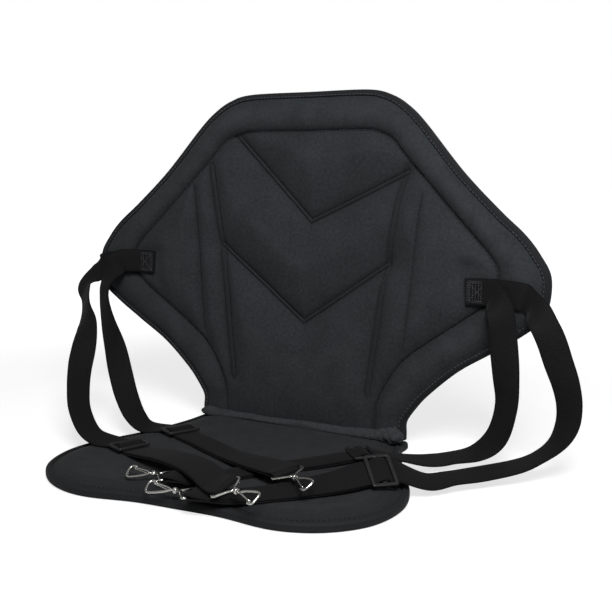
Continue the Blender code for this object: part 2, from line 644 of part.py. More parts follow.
# Each free station: centre of the webbing, then the direction across it
STRAPS = {
    "right_inner": Strap(
        1,
        [(0.181, 0.150, WING_LAYER + LAYER_STEP), (0.196, 0.151, WING_LAYER + LAYER_STEP),
         (0.209, 0.149, WING_LAYER + LAYER_STEP + 0.0036)],
        [((0.2180, 0.0975, 0.1465), (0.7, 0.5, 0.5)),
         ((0.2205, 0.1005, 0.1200), (0.9, 0.35, 0.15)),
         ((0.2220, 0.1055, 0.0895), (1.0, 0.0, 0.05)),
         ((0.2215, 0.1105, 0.0605), (0.95, -0.35, -0.1)),
         ((0.2130, 0.1125, 0.0310), (0.85, -0.4, -0.3)),
         ((0.1960, 0.1085, 0.0145), (0.75, -0.6, -0.2)),
         ((0.1745, 0.0965, 0.0090), (0.6, -0.8, -0.15)),
         ((0.1580, 0.0770, 0.0095), (0.6, -0.8, -0.15)),
         ((0.1370, 0.0620, 0.0135), (0.65, -0.75, 0.0))],
        ((0.1080, 0.0450, 0.0180), -137.0, 0.0, 0.0),
        [((0.078, 0.006, 0.0144), 0.0), ((0.045, -0.035, 0.0140), 0.0), ((0.019, -0.073, 0.0142), 0.0)],
        Hook((-0.0015, -0.0955, 0.0200), 188.0, -2.0, 0.0, -34.0),
    ),
    "right_outer": Strap(
        1,
        [(0.181, 0.150, WING_LAYER), (0.196, 0.151, WING_LAYER), (0.212, 0.151, WING_LAYER + 0.0016),
         (0.232, 0.150, WING_LAYER + 0.0036), (0.244, 0.146, WING_LAYER + 0.0036)],
        [((0.2575, 0.0870, 0.1455), (0.7, 0.5, 0.55)),
         ((0.2660, 0.0870, 0.1295), (0.85, 0.35, 0.4)),
         ((0.2715, 0.0925, 0.1100), (0.95, 0.2, 0.25)),
         ((0.2775, 0.0970, 0.0900), (1.0, 0.0, 0.05)),
         ((0.2800, 0.1020, 0.0705), (0.95, -0.25, 0.15)),
         ((0.2780, 0.1050, 0.0520), (0.9, -0.4, 0.05)),
         ((0.2700, 0.1035, 0.0350), (0.8, -0.6, 0.1)),
         ((0.2570, 0.0975, 0.0225), (0.7, -0.75, 0.0)),
         ((0.2410, 0.0850, 0.0150), (0.6, -0.8, -0.15)),
         ((0.2160, 0.0610, 0.0110), (0.55, -0.8, -0.2)),
         ((0.1970, 0.0390, 0.0105), (0.55, -0.8, -0.15)),
         ((0.1820, 0.0180, 0.0115), (0.55, -0.8, -0.3))],
        ((0.1540, -0.0130, 0.0255), -136.0, 0.0, -33.0),
        [((0.128, -0.043, 0.0200), -22.0), ((0.096, -0.075, 0.0160), -10.0), ((0.066, -0.101, 0.0150), -5.0)],
        Hook((0.0380, -0.1180, 0.0181), 189.0, 1.6, 2.0, -34.0),
    ),
    "left_outer": Strap(
        -1,
        [(0.181, 0.160, WING_LAYER), (0.196, 0.161, WING_LAYER), (0.212, 0.160, WING_LAYER + 0.0016),
         (0.234, 0.158, WING_LAYER + 0.0036), (0.246, 0.155, WING_LAYER + 0.0036)],
        [((-0.2480, 0.1040, 0.1620), (-0.75, 0.25, 0.65)),
         ((-0.2510, 0.0840, 0.1495), (-0.85, 0.5, 0.25)),
         ((-0.2395, 0.0675, 0.1375), (-0.8, 0.6, -0.05)),
         ((-0.2280, 0.0540, 0.1205), (-0.9, 0.5, 0.0)),
         ((-0.2150, 0.0405, 0.1070), (-1.0, 0.05, 0.05)),
         ((-0.2060, 0.0250, 0.0885), (-0.8, -0.55, 0.15)),
         ((-0.1970, 0.0090, 0.0725), (-0.45, -0.9, 0.1)),
         ((-0.1865, -0.0055, 0.0550), (-0.3, -0.95, 0.1)),
         ((-0.1735, -0.0185, 0.0380), (-0.15, -1.0, 0.0)),
         ((-0.1525, -0.0300, 0.0225), (0.0, -1.0, -0.1)),
         ((-0.1345, -0.0325, 0.0160), (0.2, -0.95, -0.2))],
        ((-0.0960, -0.0360, 0.0170), -22.0, 0.0, 0.0),
        [((-0.058, -0.053, 0.0190), 4.0), ((-0.020, -0.070, 0.0255), 6.0), ((0.020, -0.088, 0.0285), 12.0)],
        Hook((0.0640, -0.1120, 0.0264), -20.0, 1.5, 20.0, 36.0),
    ),
    "left_inner": Strap(
        -1,
        [(0.181, 0.160, WING_LAYER + LAYER_STEP), (0.196, 0.161, WING_LAYER + LAYER_STEP),
         (0.210, 0.161, WING_LAYER + LAYER_STEP + 0.0046), (0.222, 0.158, WING_LAYER + LAYER_STEP + 0.0100)],
        [((-0.2270, 0.0865, 0.1505), (-0.9, 0.45, 0.1)),
         ((-0.2285, 0.0845, 0.1315), (-0.9, 0.45, -0.05)),
         ((-0.2180, 0.0780, 0.1065), (-0.95, 0.25, 0.05)),
         ((-0.2010, 0.0685, 0.0825), (-1.0, -0.1, 0.05)),
         ((-0.1820, 0.0545, 0.0590), (-0.8, -0.6, -0.05)),
         ((-0.1645, 0.0425, 0.0390), (-0.55, -0.85, -0.1)),
         ((-0.1460, 0.0335, 0.0220), (-0.2, -0.95, -0.15)),
         ((-0.1285, 0.0315, 0.0130), (0.1, -1.0, -0.15))],
        ((-0.0860, 0.0300, 0.0170), -26.0, 0.0, 0.0),
        [((-0.045, 0.011, 0.0144), 0.0), ((0.000, -0.011, 0.0150), 0.0), ((0.045, -0.034, 0.0205), 8.0)],
        Hook((0.0890, -0.0580, 0.0262), -34.0, 1.5, 12.0, 36.0),
    ),
}


def wing_stations(strap):
    """Sewn start of a strap on the front of a wing, with the direction across it."""
    stations = []
    for u, v, h in strap.wing:
        centre = Vector(back_place(strap.side * u, v, h))
        above = Vector(back_place(strap.side * u, v + 0.01, h))
        stations.append((centre, (above - centre).normalized()))
    return stations


def slider_pass(strap):
    """Webbing through the slider: under the near bar, over the middle, under the far bar."""
    levels = [(-EXIT_RUN, BELOW_BAR), (-SLOT_FAR, BELOW_BAR), (-SLOT_NEAR, OVER_BAR),
              (SLOT_NEAR, OVER_BAR), (SLOT_FAR, BELOW_BAR), (EXIT_RUN, BELOW_BAR)]
    across = strap.slider.to_3x3() @ Vector((0.0, 1.0, 0.0))
    return [(strap.slider @ Vector((x, 0.0, z)), across) for x, z in levels]


def run_middle(strap):
    """Middle surface of the doubled webbing between slider and hook, with its normals."""
    turn = strap.slider.to_3x3()
    start = strap.slider @ Vector((EXIT_RUN, 0.0, BELOW_BAR - LAYER_STEP / 2))
    rows = [(start, turn @ Vector((0.0, 1.0, 0.0)))]
    centres = [start] + [Vector(p) for p, _ in strap.run] + [strap.hook.bar.copy()]
    for index, (place, lean) in enumerate(strap.run):
        ahead = (centres[index + 2] - centres[index]).normalized()
        level = Vector((-ahead.y, ahead.x, 0.0)).normalized()
        rise = ahead.cross(level)
        angle = math.radians(lean)
        rows.append((Vector(place), level * math.cos(angle) + rise * math.sin(angle)))
    hook_turn = strap.hook.frame.to_3x3()
    along_bar = hook_turn @ Vector((0.0, 1.0, 0.0))
    rows.append((strap.hook.bar - hook_turn @ Vector((BAR_APPROACH, 0.0, 0.0)), along_bar))
    rows.append((strap.hook.bar.copy(), along_bar))
    packed = [(*centre, *across) for centre, across in rows]
    return [(Vector(p[:3]), Vector(p[3:]).normalized()) for p in smooth_path(packed, RUN_STEPS)]


def tangents(centres):
    """Unit directions along a row of points."""
    made = []
    for i in range(len(centres)):
        made.append((centres[min(i + 1, len(centres) - 1)] - centres[max(i - 1, 0)]).normalized())
    return made


def strap_stations(strap):
    """Every station of a strap from its sewn start to its end under the slider."""
    loop = wing_stations(strap) + [(Vector(c), Vector(a).normalized()) for c, a in strap.free]
    loop = [(centre, across * strap.side) for centre, across in loop]
    inlet = slider_pass(strap)
    packed = [(*c, *a) for c, a in loop + inlet[:1]]
    stations = [(Vector(p[:3]), Vector(p[3:]).normalized()) for p in smooth_path(packed, CURVE_STEPS)]
    stations += inlet[1:-1]
    middle = run_middle(strap)
    centres = [c for c, _ in middle]
    ways = tangents(centres)
    bar = strap.hook.bar
    upper, lower = [], []
    for (centre, across), way in zip(middle[:-1], ways[:-1]):
        normal = way.cross(across).normalized()
        near = max(0.0, 1.0 - (centre - bar).length / WRAP_SPREAD_RUN)
        spread = LAYER_STEP / 2 + (WRAP_RADIUS - LAYER_STEP / 2) * near
        upper.append((centre + normal * spread, across))
        lower.append((centre - normal * spread, across))
    across = middle[-1][1]
    way = strap.hook.frame.to_3x3() @ Vector((1.0, 0.0, 0.0))
    normal = way.cross(across).normalized()
    wrap = []
    for k in range(WRAP_STEPS + 1):
        angle = math.pi / 2 - math.pi * k / WRAP_STEPS
        offset = normal * math.sin(angle) + way * math.cos(angle)
        wrap.append((bar + offset * WRAP_RADIUS, across))
    end_turn = strap.slider.to_3x3() @ Vector((0.0, 1.0, 0.0))
    tail = [(strap.slider @ Vector((SLOT_FAR, 0.0, BELOW_BAR - LAYER_STEP)), end_turn),
            (strap.slider @ Vector((SLOT_NEAR, 0.0, BELOW_BAR)), end_turn),
            (strap.slider @ Vector((-SLOT_NEAR, 0.0, BELOW_BAR)), end_turn)]
    return stations + upper + wrap + list(reversed(lower)) + tail


def build_strap(name, strap):
    """Flat webbing swept along its stations."""
    stations = strap_stations(strap)
    centres = [c for c, _ in stations]
    sections = []
    for (centre, across), way in zip(stations, tangents(centres)):
        side = (across - way * across.dot(way)).normalized()
        normal = way.cross(side).normalized()
        half_wide, half_thick = side * (WEB_WIDTH / 2), normal * (WEB_THICK / 2)
        sections.append([centre - half_wide - half_thick, centre + half_wide - half_thick,
                         centre + half_wide + half_thick, centre - half_wide + half_thick])
    swept("strap_" + name, sections, WEBBING)


def eye_points():
    """Triangular wire eye with rounded corners, bar first."""
    corner = EYE_CORNER
    return [(0.0, -EYE_HALF + corner), (0.0, EYE_HALF - corner), (corner * 0.35, EYE_HALF - corner * 0.3),
            (corner, EYE_HALF), (corner * 2.0, EYE_HALF - corner * 0.5),
            (EYE_LENGTH - corner * 0.6, EYE_APEX_HALF), (EYE_LENGTH, EYE_APEX_HALF * 0.5),
            (EYE_LENGTH, -EYE_APEX_HALF * 0.5), (EYE_LENGTH - corner * 0.6, -EYE_APEX_HALF),
            (corner * 2.0, -EYE_HALF + corner * 0.5), (corner, -EYE_HALF),
            (corner * 0.35, -EYE_HALF + corner * 0.3)]


FERRULE_START = EYE_LENGTH + EYE_WIRE + GAP
FERRULE_BACK = FERRULE_START + STEM_HEAD_LENGTH + GAP
PIVOT = FERRULE_BACK + FERRULE_LENGTH + PIVOT_SPACE
HOOK_TIP = PIVOT + HOOK_LENGTH


def build_ferrule(name, matrix):
    """Turned collar around the hook's stem."""
    bore = HOOK_WIRE + FERRULE_WALL_PLAY
    outer = FERRULE_RADIUS
    back, front = FERRULE_BACK, FERRULE_BACK + FERRULE_LENGTH
    bevel = FERRULE_LENGTH * 0.25
    profile = [(back, bore), (back, outer * 0.8), (back + bevel, outer), (front - bevel, outer),
               (front, outer * 0.8), (front, bore)]
    bm = bmesh.new()
    rings = []
    for k in range(FERRULE_SIDES):
        turn = 2.0 * math.pi * k / FERRULE_SIDES
        rings.append([bm.verts.new((x, r * math.cos(turn), r * math.sin(turn))) for x, r in profile])
    for k in range(FERRULE_SIDES):
        near, far = rings[k], rings[(k + 1) % FERRULE_SIDES]
        for i in range(len(profile)):
            j = (i + 1) % len(profile)
            bm.faces.new([near[i], near[j], far[j], far[i]])
    obj = mesh_object(name, bm, NICKEL)
    obj.matrix_world = matrix
    return obj


def hook_points():
    """Wire of the hook in its own plane: stem, spreading spine, squared end and nose."""
    half, tip = HOOK_HALF, HOOK_TIP
    head = FERRULE_START + STEM_HEAD_LENGTH
    return [
        (FERRULE_START, 0.0), (head, 0.0), (head + 0.0001, 0.0), (PIVOT, 0.0), (PIVOT + 0.0020, half * 0.18),
        (PIVOT + 0.0050, half * 0.43), (PIVOT + 0.0095, half * 0.68), (tip - 0.0075, half * 0.87),
        (tip - 0.0033, half * 0.99), (tip - 0.0014, half * 0.90), (tip - 0.0003, half * 0.62),
        (tip, half * 0.25), (tip, -half * 0.25), (tip - 0.0003, -half * 0.62), (tip - 0.0014, -half * 0.90),
        (tip - 0.0033, -half * 0.99), (tip - NOSE_LENGTH, -half * NOSE_SHARE),
    ]


def gate_points():
    """Hairpin gate whose legs straddle the stem at the pivot and close inside the nose."""
    wide = HOOK_WIRE + GAP + GATE_WIRE
    narrow = GATE_WIRE * 1.6
    reach = -(HOOK_HALF * NOSE_SHARE - HOOK_WIRE - GAP - GATE_WIRE)
    near, far = GATE_LENGTH * 0.30, GATE_LENGTH * 0.85
    return [(0.0, 0.0, wide), (near, reach * 0.32, wide), (far, reach * 0.90, narrow * 1.1),
            (GATE_LENGTH, reach, narrow), (GATE_LENGTH + GATE_WIRE * 1.5, reach, 0.0),
            (GATE_LENGTH, reach, -narrow),
            (far, reach * 0.90, -narrow * 1.1), (near, reach * 0.32, -wide), (0.0, 0.0, -wide)]


def build_hook(number, hook):
    """Eye, ferrule, hook and gate of one snap hook."""
    label = "hook_%d" % number
    eye = tube(label + "_eye", [(x, y, 0.0) for x, y in eye_points()], EYE_WIRE, NICKEL, closed=True)
    eye.matrix_world = hook.frame
    build_ferrule(label + "_ferrule", hook.frame)
    points = hook_points()
    radii = [STEM_HEAD_SCALE] * 2 + [1.0] * (len(points) - 2)
    body = tube(label + "_body", [(x, y, 0.0) for x, y in points], HOOK_WIRE, NICKEL, radii=radii)
    body.matrix_world = hook.body_frame
    gate = tube(label + "_gate", gate_points(), GATE_WIRE, NICKEL)
    gate.matrix_world = hook.body_frame @ Matrix.Translation((PIVOT, 0.0, 0.0))


def build_all():
    """Build every piece of the seat."""
    clear_scene()
    build_seat()
    build_backrest()
    build_fold()
    frame = slider_mesh()
    for number, (name, strap) in enumerate(STRAPS.items(), 1):
        build_strap(name, strap)
        build_slider("slider_" + name, frame, strap.slider)
        build_hook(number, strap.hook)
    bpy.data.meshes.remove(frame)


build_all()
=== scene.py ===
"""Looks of a padded kayak seat: quilted covers, bindings, stitching, webbing, sliders and wire snap hooks.

Metres, +Z up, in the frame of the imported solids. Flat patterns use u (sideways) and v (away from the fold),
and h is the height above a pad's back face, as in the solids.
"""

import logging
import math
from dataclasses import dataclass, field
from enum import Enum
from typing import Callable, Optional, Sequence

import bpy
import numpy as np
from mathutils import Matrix, Vector
from mathutils.geometry import delaunay_2d_cdt


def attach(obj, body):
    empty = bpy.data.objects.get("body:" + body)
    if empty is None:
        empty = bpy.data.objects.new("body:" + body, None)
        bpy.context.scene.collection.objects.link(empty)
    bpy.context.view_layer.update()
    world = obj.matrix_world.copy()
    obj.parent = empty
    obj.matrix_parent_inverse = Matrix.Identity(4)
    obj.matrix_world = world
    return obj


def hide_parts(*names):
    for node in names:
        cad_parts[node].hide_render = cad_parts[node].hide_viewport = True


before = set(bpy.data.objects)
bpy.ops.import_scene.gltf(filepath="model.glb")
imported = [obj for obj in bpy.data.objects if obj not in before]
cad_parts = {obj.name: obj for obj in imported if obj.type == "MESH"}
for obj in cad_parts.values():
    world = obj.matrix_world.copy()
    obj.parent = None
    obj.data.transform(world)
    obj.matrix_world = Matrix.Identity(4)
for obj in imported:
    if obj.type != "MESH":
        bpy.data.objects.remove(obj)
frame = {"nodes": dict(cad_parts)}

Array = np.ndarray
Colour = tuple[float, float, float]
Place = Callable[[Array, Array, Array], Array]

log = logging.getLogger("kayak_seat")

# Clearances and thicknesses that the solids have too
GAP = 0.0003
CLOTH = 0.0012
WEB_WIDTH = 0.025
WEB_THICK = 0.0015
LAYER_STEP = WEB_THICK + GAP

# Width of tape that shows on a pad's face, narrower than in the solids, and where its stitches lie
BINDING_LAP = 0.0044
STITCH_INSET = 0.0011

# Spacing of mesh points along seams, edges and outlines
LINE_STEP = 0.003


class Side(Enum):
    """Sides of the seat, as the sign of the sideways coordinate."""

    LEFT = -1
    RIGHT = 1


class Body(Enum):
    """Kinds of bodies that pieces ride on."""

    ROOT = "root"
    HOOK = "hook_%d"
    GATE = "gate_%d"


class Slot(Enum):
    """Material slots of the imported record."""

    SHELL = "shell_fabric"
    LINING = "lining_fabric"
    TAPE = "edge_tape"
    WEBBING = "webbing"
    PLASTIC = "slider_plastic"
    WIRE = "hook_wire"


# Paths and patterns


def smooth(points: Sequence[Sequence[float]], steps: int) -> Array:
    """Catmull-Rom curve through points of any dimension.

    Args:
        points: the points that the curve passes through.
        steps: how many pieces each span is cut into.

    Returns:
        The points of the curve, one row each.
    """
    given = np.asarray(points, float)
    last = len(given) - 1
    rows = []
    for span in range(last):
        a, b, c, d = (given[min(max(span + k, 0), last)] for k in (-1, 0, 1, 2))
        for step in range(steps):
            t = step / steps
            early = a * (-t + 2 * t * t - t ** 3) + b * (2 - 5 * t * t + 3 * t ** 3)
            rows.append((early + c * (t + 4 * t * t - 3 * t ** 3) + d * (-t * t + t ** 3)) / 2)
    rows.append(given[-1])
    return np.array(rows)


def wire_curve(points: Sequence[Sequence[float]], steps: int) -> Array:
    """Smooth curve through unevenly spaced points, weighted by the spans so that it doesn't overshoot.

    Args:
        points: the points that the curve passes through.
        steps: how many pieces each span is cut into.

    Returns:
        The points of the curve, one row each.
    """
    given = np.asarray(points, float)
    gaps = np.linalg.norm(np.diff(given, axis=0), axis=1)
    ways = np.vstack((
        (given[1] - given[0]) / gaps[0],
        (given[2:] - given[:-2]) / (gaps[1:] + gaps[:-1])[:, None],
        (given[-1] - given[-2]) / gaps[-1],
    ))
    rows = []
    for i, gap in enumerate(gaps):
        for step in range(steps):
            t = step / steps
            rows.append(
                given[i] * (2 * t ** 3 - 3 * t * t + 1) + ways[i] * gap * (t ** 3 - 2 * t * t + t)
                + given[i + 1] * (3 * t * t - 2 * t ** 3) + ways[i + 1] * gap * (t ** 3 - t * t)
            )
    rows.append(given[-1])
    return np.array(rows)


def mirrored(half: Array) -> Array:
    """Whole path from its right half, which starts on the centre line."""
    left = half[half[:, 0] > 1e-9][::-1] * (-1.0, 1.0)
    return np.vstack((left, half))


def arc_lengths(path: Array) -> Array:
    """Distance along a path at each of its points."""
    return np.concatenate(([0.0], np.cumsum(np.linalg.norm(np.diff(path, axis=0), axis=1))))


def resampled(path: Array, step: float) -> Array:
    """Points of a path at equal steps of about the given length."""
    lengths = arc_lengths(path)
    count = max(2, int(round(lengths[-1] / step)) + 1)
    goals = np.linspace(0.0, lengths[-1], count)
    return np.column_stack([np.interp(goals, lengths, path[:, k]) for k in range(path.shape[1])])


def cornered(path: Array, step: float) -> Array:
    """Points of a path at about equal steps, its own points kept."""
    rows = [resampled(path[i:i + 2], step)[:-1] for i in range(len(path) - 1)]
    return np.vstack(rows + [path[-1:]])


def offset(path: Array, distance: float) -> Array:
    """A flat path moved to its right-hand side, mitred at its corners.

    Args:
        path: points of an open path.
        distance: how far it moves.

    Returns:
        The moved path, with as many points.
    """
    runs = np.diff(path, axis=0)
    runs /= np.maximum(np.linalg.norm(runs, axis=1), 1e-12)[:, None]
    before = np.vstack((runs[:1], runs))
    after = np.vstack((runs, runs[-1:]))
    middle = before + after
    middle /= np.maximum(np.linalg.norm(middle, axis=1), 1e-9)[:, None]
    mitre = 1.0 / np.maximum(np.einsum("ij,ij->i", middle, after), 0.45)
    return path + np.column_stack((middle[:, 1], -middle[:, 0])) * (mitre * distance)[:, None]


def measured(path: Array, points: Array) -> tuple[Array, Array]:
    """Shortest distances from flat points to an open path.

    Args:
        path: points of the path.
        points: the points to measure from.

    Returns:
        The distances, and how far along the path each nearest place lies.
    """
    best = np.full(len(points), np.inf)
    along = np.zeros(len(points))
    lengths = arc_lengths(path)
    for i in range(len(path) - 1):
        run = path[i + 1] - path[i]
        span = lengths[i + 1] - lengths[i]
        t = np.clip((points - path[i]) @ run / max(span * span, 1e-18), 0.0, 1.0)
        gap = np.linalg.norm(points - path[i] - t[:, None] * run, axis=1)
        closer = gap < best
        best[closer] = gap[closer]
        along[closer] = lengths[i] + t[closer] * span
    return best, along


def is_inside(loop: Array, points: Array) -> Array:
    """Even-odd test of flat points against a closed loop."""
    inside = np.zeros(len(points), bool)
    ends = np.roll(loop, -1, axis=0)
    for (au, av), (bu, bv) in zip(loop, ends):
        if av == bv:
            continue
        crosses = ((av > points[:, 1]) != (bv > points[:, 1]))
        crosses &= points[:, 0] < (bu - au) * (points[:, 1] - av) / (bv - av) + au
        inside ^= crosses
    return inside


def soft_step(value: Array, low: float, high: float) -> Array:
    """Smooth rise from 0 at low to 1 at high."""
    t = np.clip((value - low) / (high - low), 0.0, 1.0)
    return t * t * (3.0 - 2.0 * t)


def ripple(points: Array, waves: Sequence[tuple[float, float, float]]) -> Array:
    """Slow unevenness of stuffed cloth: a sum of plane waves, between -1 and 1.

    Args:
        points: flat points.
        waves: for each wave its direction in radians, its length and its phase.

    Returns:
        One value per point.
    """
    total = np.zeros(len(points))
    for turn, length, phase in waves:
        run = points[:, 0] * math.cos(turn) + points[:, 1] * math.sin(turn)
        total += np.sin(run * 2 * math.pi / length + phase)
    return total / len(waves)


UNEVEN = ((0.3, 0.083, 0.4), (1.9, 0.061, 2.1), (2.7, 0.047, 4.0), (1.1, 0.113, 5.2))


# Meshes


def triangulated(outline: Array, lines: Sequence[Array], spacing: float) -> tuple[Array, list, list]:
    """Triangles over a closed outline that keep lines as edges.

    Args:
        outline: points of the closed outline.
        lines: open lines inside it.
        spacing: size of the triangles.

    Returns:
        The flat points, the faces, and the numbers of the outline's points in order.
    """
    points = [tuple(p) for p in outline]
    edges = [(i, (i + 1) % len(outline)) for i in range(len(outline))]
    for line in lines:
        first = len(points)
        points += [tuple(p) for p in line]
        edges += [(first + i, first + i + 1) for i in range(len(line) - 1)]
    low, high = outline.min(0), outline.max(0)
    rows = []
    for number, v in enumerate(np.arange(low[1], high[1], spacing * math.sqrt(0.75))):
        u = np.arange(low[0] + (number % 2) * spacing / 2, high[0], spacing)
        rows.append(np.column_stack((u, np.full(len(u), v))))
    grid = np.vstack(rows)
    grid = grid[is_inside(outline, grid)]
    for path in [np.vstack((outline, outline[:1])), *lines]:
        grid = grid[measured(path, grid)[0] > spacing * 0.55]
    points += [tuple(p) for p in grid]
    rim = list(range(len(outline)))
    verts, _, faces, sources, _, _ = delaunay_2d_cdt([Vector(p) for p in points], edges, [rim], 1, 1e-7)
    number_of = {}
    for index, source in enumerate(sources):
        for original in source:
            number_of[original] = index
    return np.array([tuple(v) for v in verts]), [list(f) for f in faces], [number_of[i] for i in rim]


def make_mesh(name: str, points: Array, faces: Sequence[Sequence[int]], uv: Optional[Array] = None,
              sharp: float = 50.0, **attributes: Array) -> bpy.types.Object:
    """Linked object from points and faces, smooth apart from its sharp edges.

    Args:
        name: name of the piece.
        points: one row per point.
        faces: point numbers of each face.
        uv: flat coordinates of each point, in metres.
        sharp: angle in degrees from which an edge stays sharp.
        attributes: further values per point, by name.

    Returns:
        The object.
    """
    used = np.unique(np.concatenate([np.asarray(f) for f in faces]))
    renumber = np.full(len(points), -1)
    renumber[used] = np.arange(len(used))
    mesh = bpy.data.meshes.new(name)
    mesh.from_pydata(points[used].tolist(), [], [[int(renumber[i]) for i in f] for f in faces])
    mesh.polygons.foreach_set("use_smooth", [True] * len(mesh.polygons))
    mesh.set_sharp_from_angle(angle=math.radians(sharp))
    if uv is not None:
        corners = np.empty(len(mesh.loops), int)
        mesh.loops.foreach_get("vertex_index", corners)
        layer = mesh.uv_layers.new(name="pattern")
        layer.data.foreach_set("uv", uv[used][corners].astype(np.float32).ravel())
    for key, values in attributes.items():
        mesh.attributes.new(key, "FLOAT", "POINT").data.foreach_set("value", values[used].astype(np.float32))
    mesh.update()
    obj = bpy.data.objects.new(name, mesh)
    bpy.context.scene.collection.objects.link(obj)
    return obj


def joined_rings(rings: int, size: int, closed: bool = False) -> list[list[int]]:
    """Faces between equal rings of points, capped at both ends unless the row is closed.

    Args:
        rings: how many rings there are.
        size: points in each ring.
        closed: whether the last ring joins the first.

    Returns:
        The faces as point numbers.
    """
    faces = []
    for ring in range(rings if closed else rings - 1):
        near, far = ring * size, (ring + 1) % rings * size
        for i in range(size):
            j = (i + 1) % size
            faces.append([near + i, near + j, far + j, far + i])
    if not closed:
        faces.append(list(range(size))[::-1])
        faces.append([(rings - 1) * size + i for i in range(size)])
    return faces


def swept_wire(name: str, path: Array, radii: Array, closed: bool = False,
               sides: int = 14) -> bpy.types.Object:
    """Round wire along a path, with its frame carried on from point to point.

    Args:
        name: name of the piece.
        path: points of the wire's centre line.
        radii: radius at each point.
        closed: whether the wire is a loop.
        sides: how many sides the round section has.

    Returns:
        The object.
    """
    if closed:
        ways = np.roll(path, -1, axis=0) - np.roll(path, 1, axis=0)
    else:
        ways = np.gradient(path, axis=0)
    ways /= np.linalg.norm(ways, axis=1)[:, None]
    normal = np.cross(ways[0], (0.31, 0.17, 0.93))
    rings, uv = [], []
    lengths = arc_lengths(path)
    turns = np.arange(sides) * 2 * math.pi / sides
    for point, way, radius, length in zip(path, ways, radii, lengths):
        normal = normal - way * (normal @ way)
        normal /= np.linalg.norm(normal)
        other = np.cross(way, normal)
        rings.append(point + radius * (np.outer(np.cos(turns), normal) + np.outer(np.sin(turns), other)))
        uv.append(np.column_stack((turns * radius, np.full(sides, length))))
    return make_mesh(name, np.vstack(rings), joined_rings(len(path), sides, closed), np.vstack(uv))


def turned(name: str, profile: Sequence[tuple[float, float]], sides: int = 32) -> bpy.types.Object:
    """Turned ring about the X axis from a closed profile of (x, radius)."""
    rows = np.asarray(profile, float)
    rings = []
    for k in range(sides):
        turn = 2 * math.pi * k / sides
        rings.append(np.column_stack((rows[:, 0], rows[:, 1] * math.cos(turn), rows[:, 1] * math.sin(turn))))
    return make_mesh(name, np.vstack(rings), joined_rings(sides, len(rows), closed=True), sharp=35.0)


def placed(obj: bpy.types.Object, matrix: Matrix) -> bpy.types.Object:
    """The object with its points carried into the world, so that it stays at the origin."""
    obj.data.transform(matrix)
    obj.data.update()
    return obj


def dressed(obj: bpy.types.Object, material: bpy.types.Material,
            body: str = Body.ROOT.value) -> bpy.types.Object:
    """Gives a new piece its material and the body that it rides on."""
    obj.data.materials.clear()
    obj.data.materials.append(material)
    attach(obj, body)
    return obj


# Materials


class Sheet:
    """Short calls that fill one node tree."""

    def __init__(self, tree: bpy.types.NodeTree) -> None:
        """Keeps the tree that the nodes go into."""
        self.tree = tree

    def add(self, kind: str, **settings: object) -> bpy.types.Node:
        """New node of a kind, with its settings."""
        node = self.tree.nodes.new(kind)
        for key, value in settings.items():
            setattr(node, key, value)
        return node

    def join(self, value: object, socket: bpy.types.NodeSocket) -> None:
        """Links a socket, or writes a plain value into it."""
        if isinstance(value, bpy.types.NodeSocket):
            self.tree.links.new(value, socket)
        else:
            socket.default_value = value

    def math(self, operation: str, *values: object) -> bpy.types.NodeSocket:
        """Result of a math node."""
        node = self.add("ShaderNodeMath", operation=operation)
        for value, socket in zip(values, node.inputs):
            self.join(value, socket)
        return node.outputs[0]

    def mixed(self, factor: object, low: object, high: object) -> bpy.types.NodeSocket:
        """Colour between two colours."""
        node = self.add("ShaderNodeMix", data_type="RGBA")
        node.clamp_factor = True
        self.join(factor, node.inputs[0])
        self.join(low, node.inputs[6])
        self.join(high, node.inputs[7])
        return node.outputs[2]

    def ranged(self, value: object, low: object, high: object) -> bpy.types.NodeSocket:
        """A value from 0 to 1 spread between two others."""
        node = self.add("ShaderNodeMapRange")
        self.join(value, node.inputs["Value"])
        self.join(low, node.inputs["To Min"])
        self.join(high, node.inputs["To Max"])
        return node.outputs["Result"]

    def noise(self, position: object, scale: float, detail: float = 3.0) -> bpy.types.NodeSocket:
        """Noise value at a position."""
        node = self.add("ShaderNodeTexNoise")
        self.join(position, node.inputs["Vector"])
        node.inputs["Scale"].default_value = scale
        node.inputs["Detail"].default_value = detail
        return node.outputs["Fac"]

    def attribute(self, name: str) -> bpy.types.NodeSocket:
        """Value that the mesh carries at each point."""
        return self.add("ShaderNodeAttribute", attribute_name=name).outputs["Fac"]


SocketList = Sequence[tuple[str, str, object]]


def node_group(name: str, inputs: SocketList,
               outputs: SocketList) -> tuple[bpy.types.NodeTree, Sheet, dict, dict]:
    """Empty shader node group with named sockets.

    Args:
        name: name of the group.
        inputs: name, kind and first value of each input.
        outputs: name, kind and None for each output.

    Returns:
        The group, its sheet, and its inside sockets by name: inputs, then outputs.
    """
    tree = bpy.data.node_groups.new(name, "ShaderNodeTree")
    for in_out, sockets in (("INPUT", inputs), ("OUTPUT", outputs)):
        for label, kind, value in sockets:
            made = tree.interface.new_socket(name=label, in_out=in_out, socket_type="NodeSocket" + kind)
            if value is not None:
                made.default_value = value
    sheet = Sheet(tree)
    entry = sheet.add("NodeGroupInput")
    leave = sheet.add("NodeGroupOutput")
    return tree, sheet, {s.name: s for s in entry.outputs}, {s.name: s for s in leave.inputs}


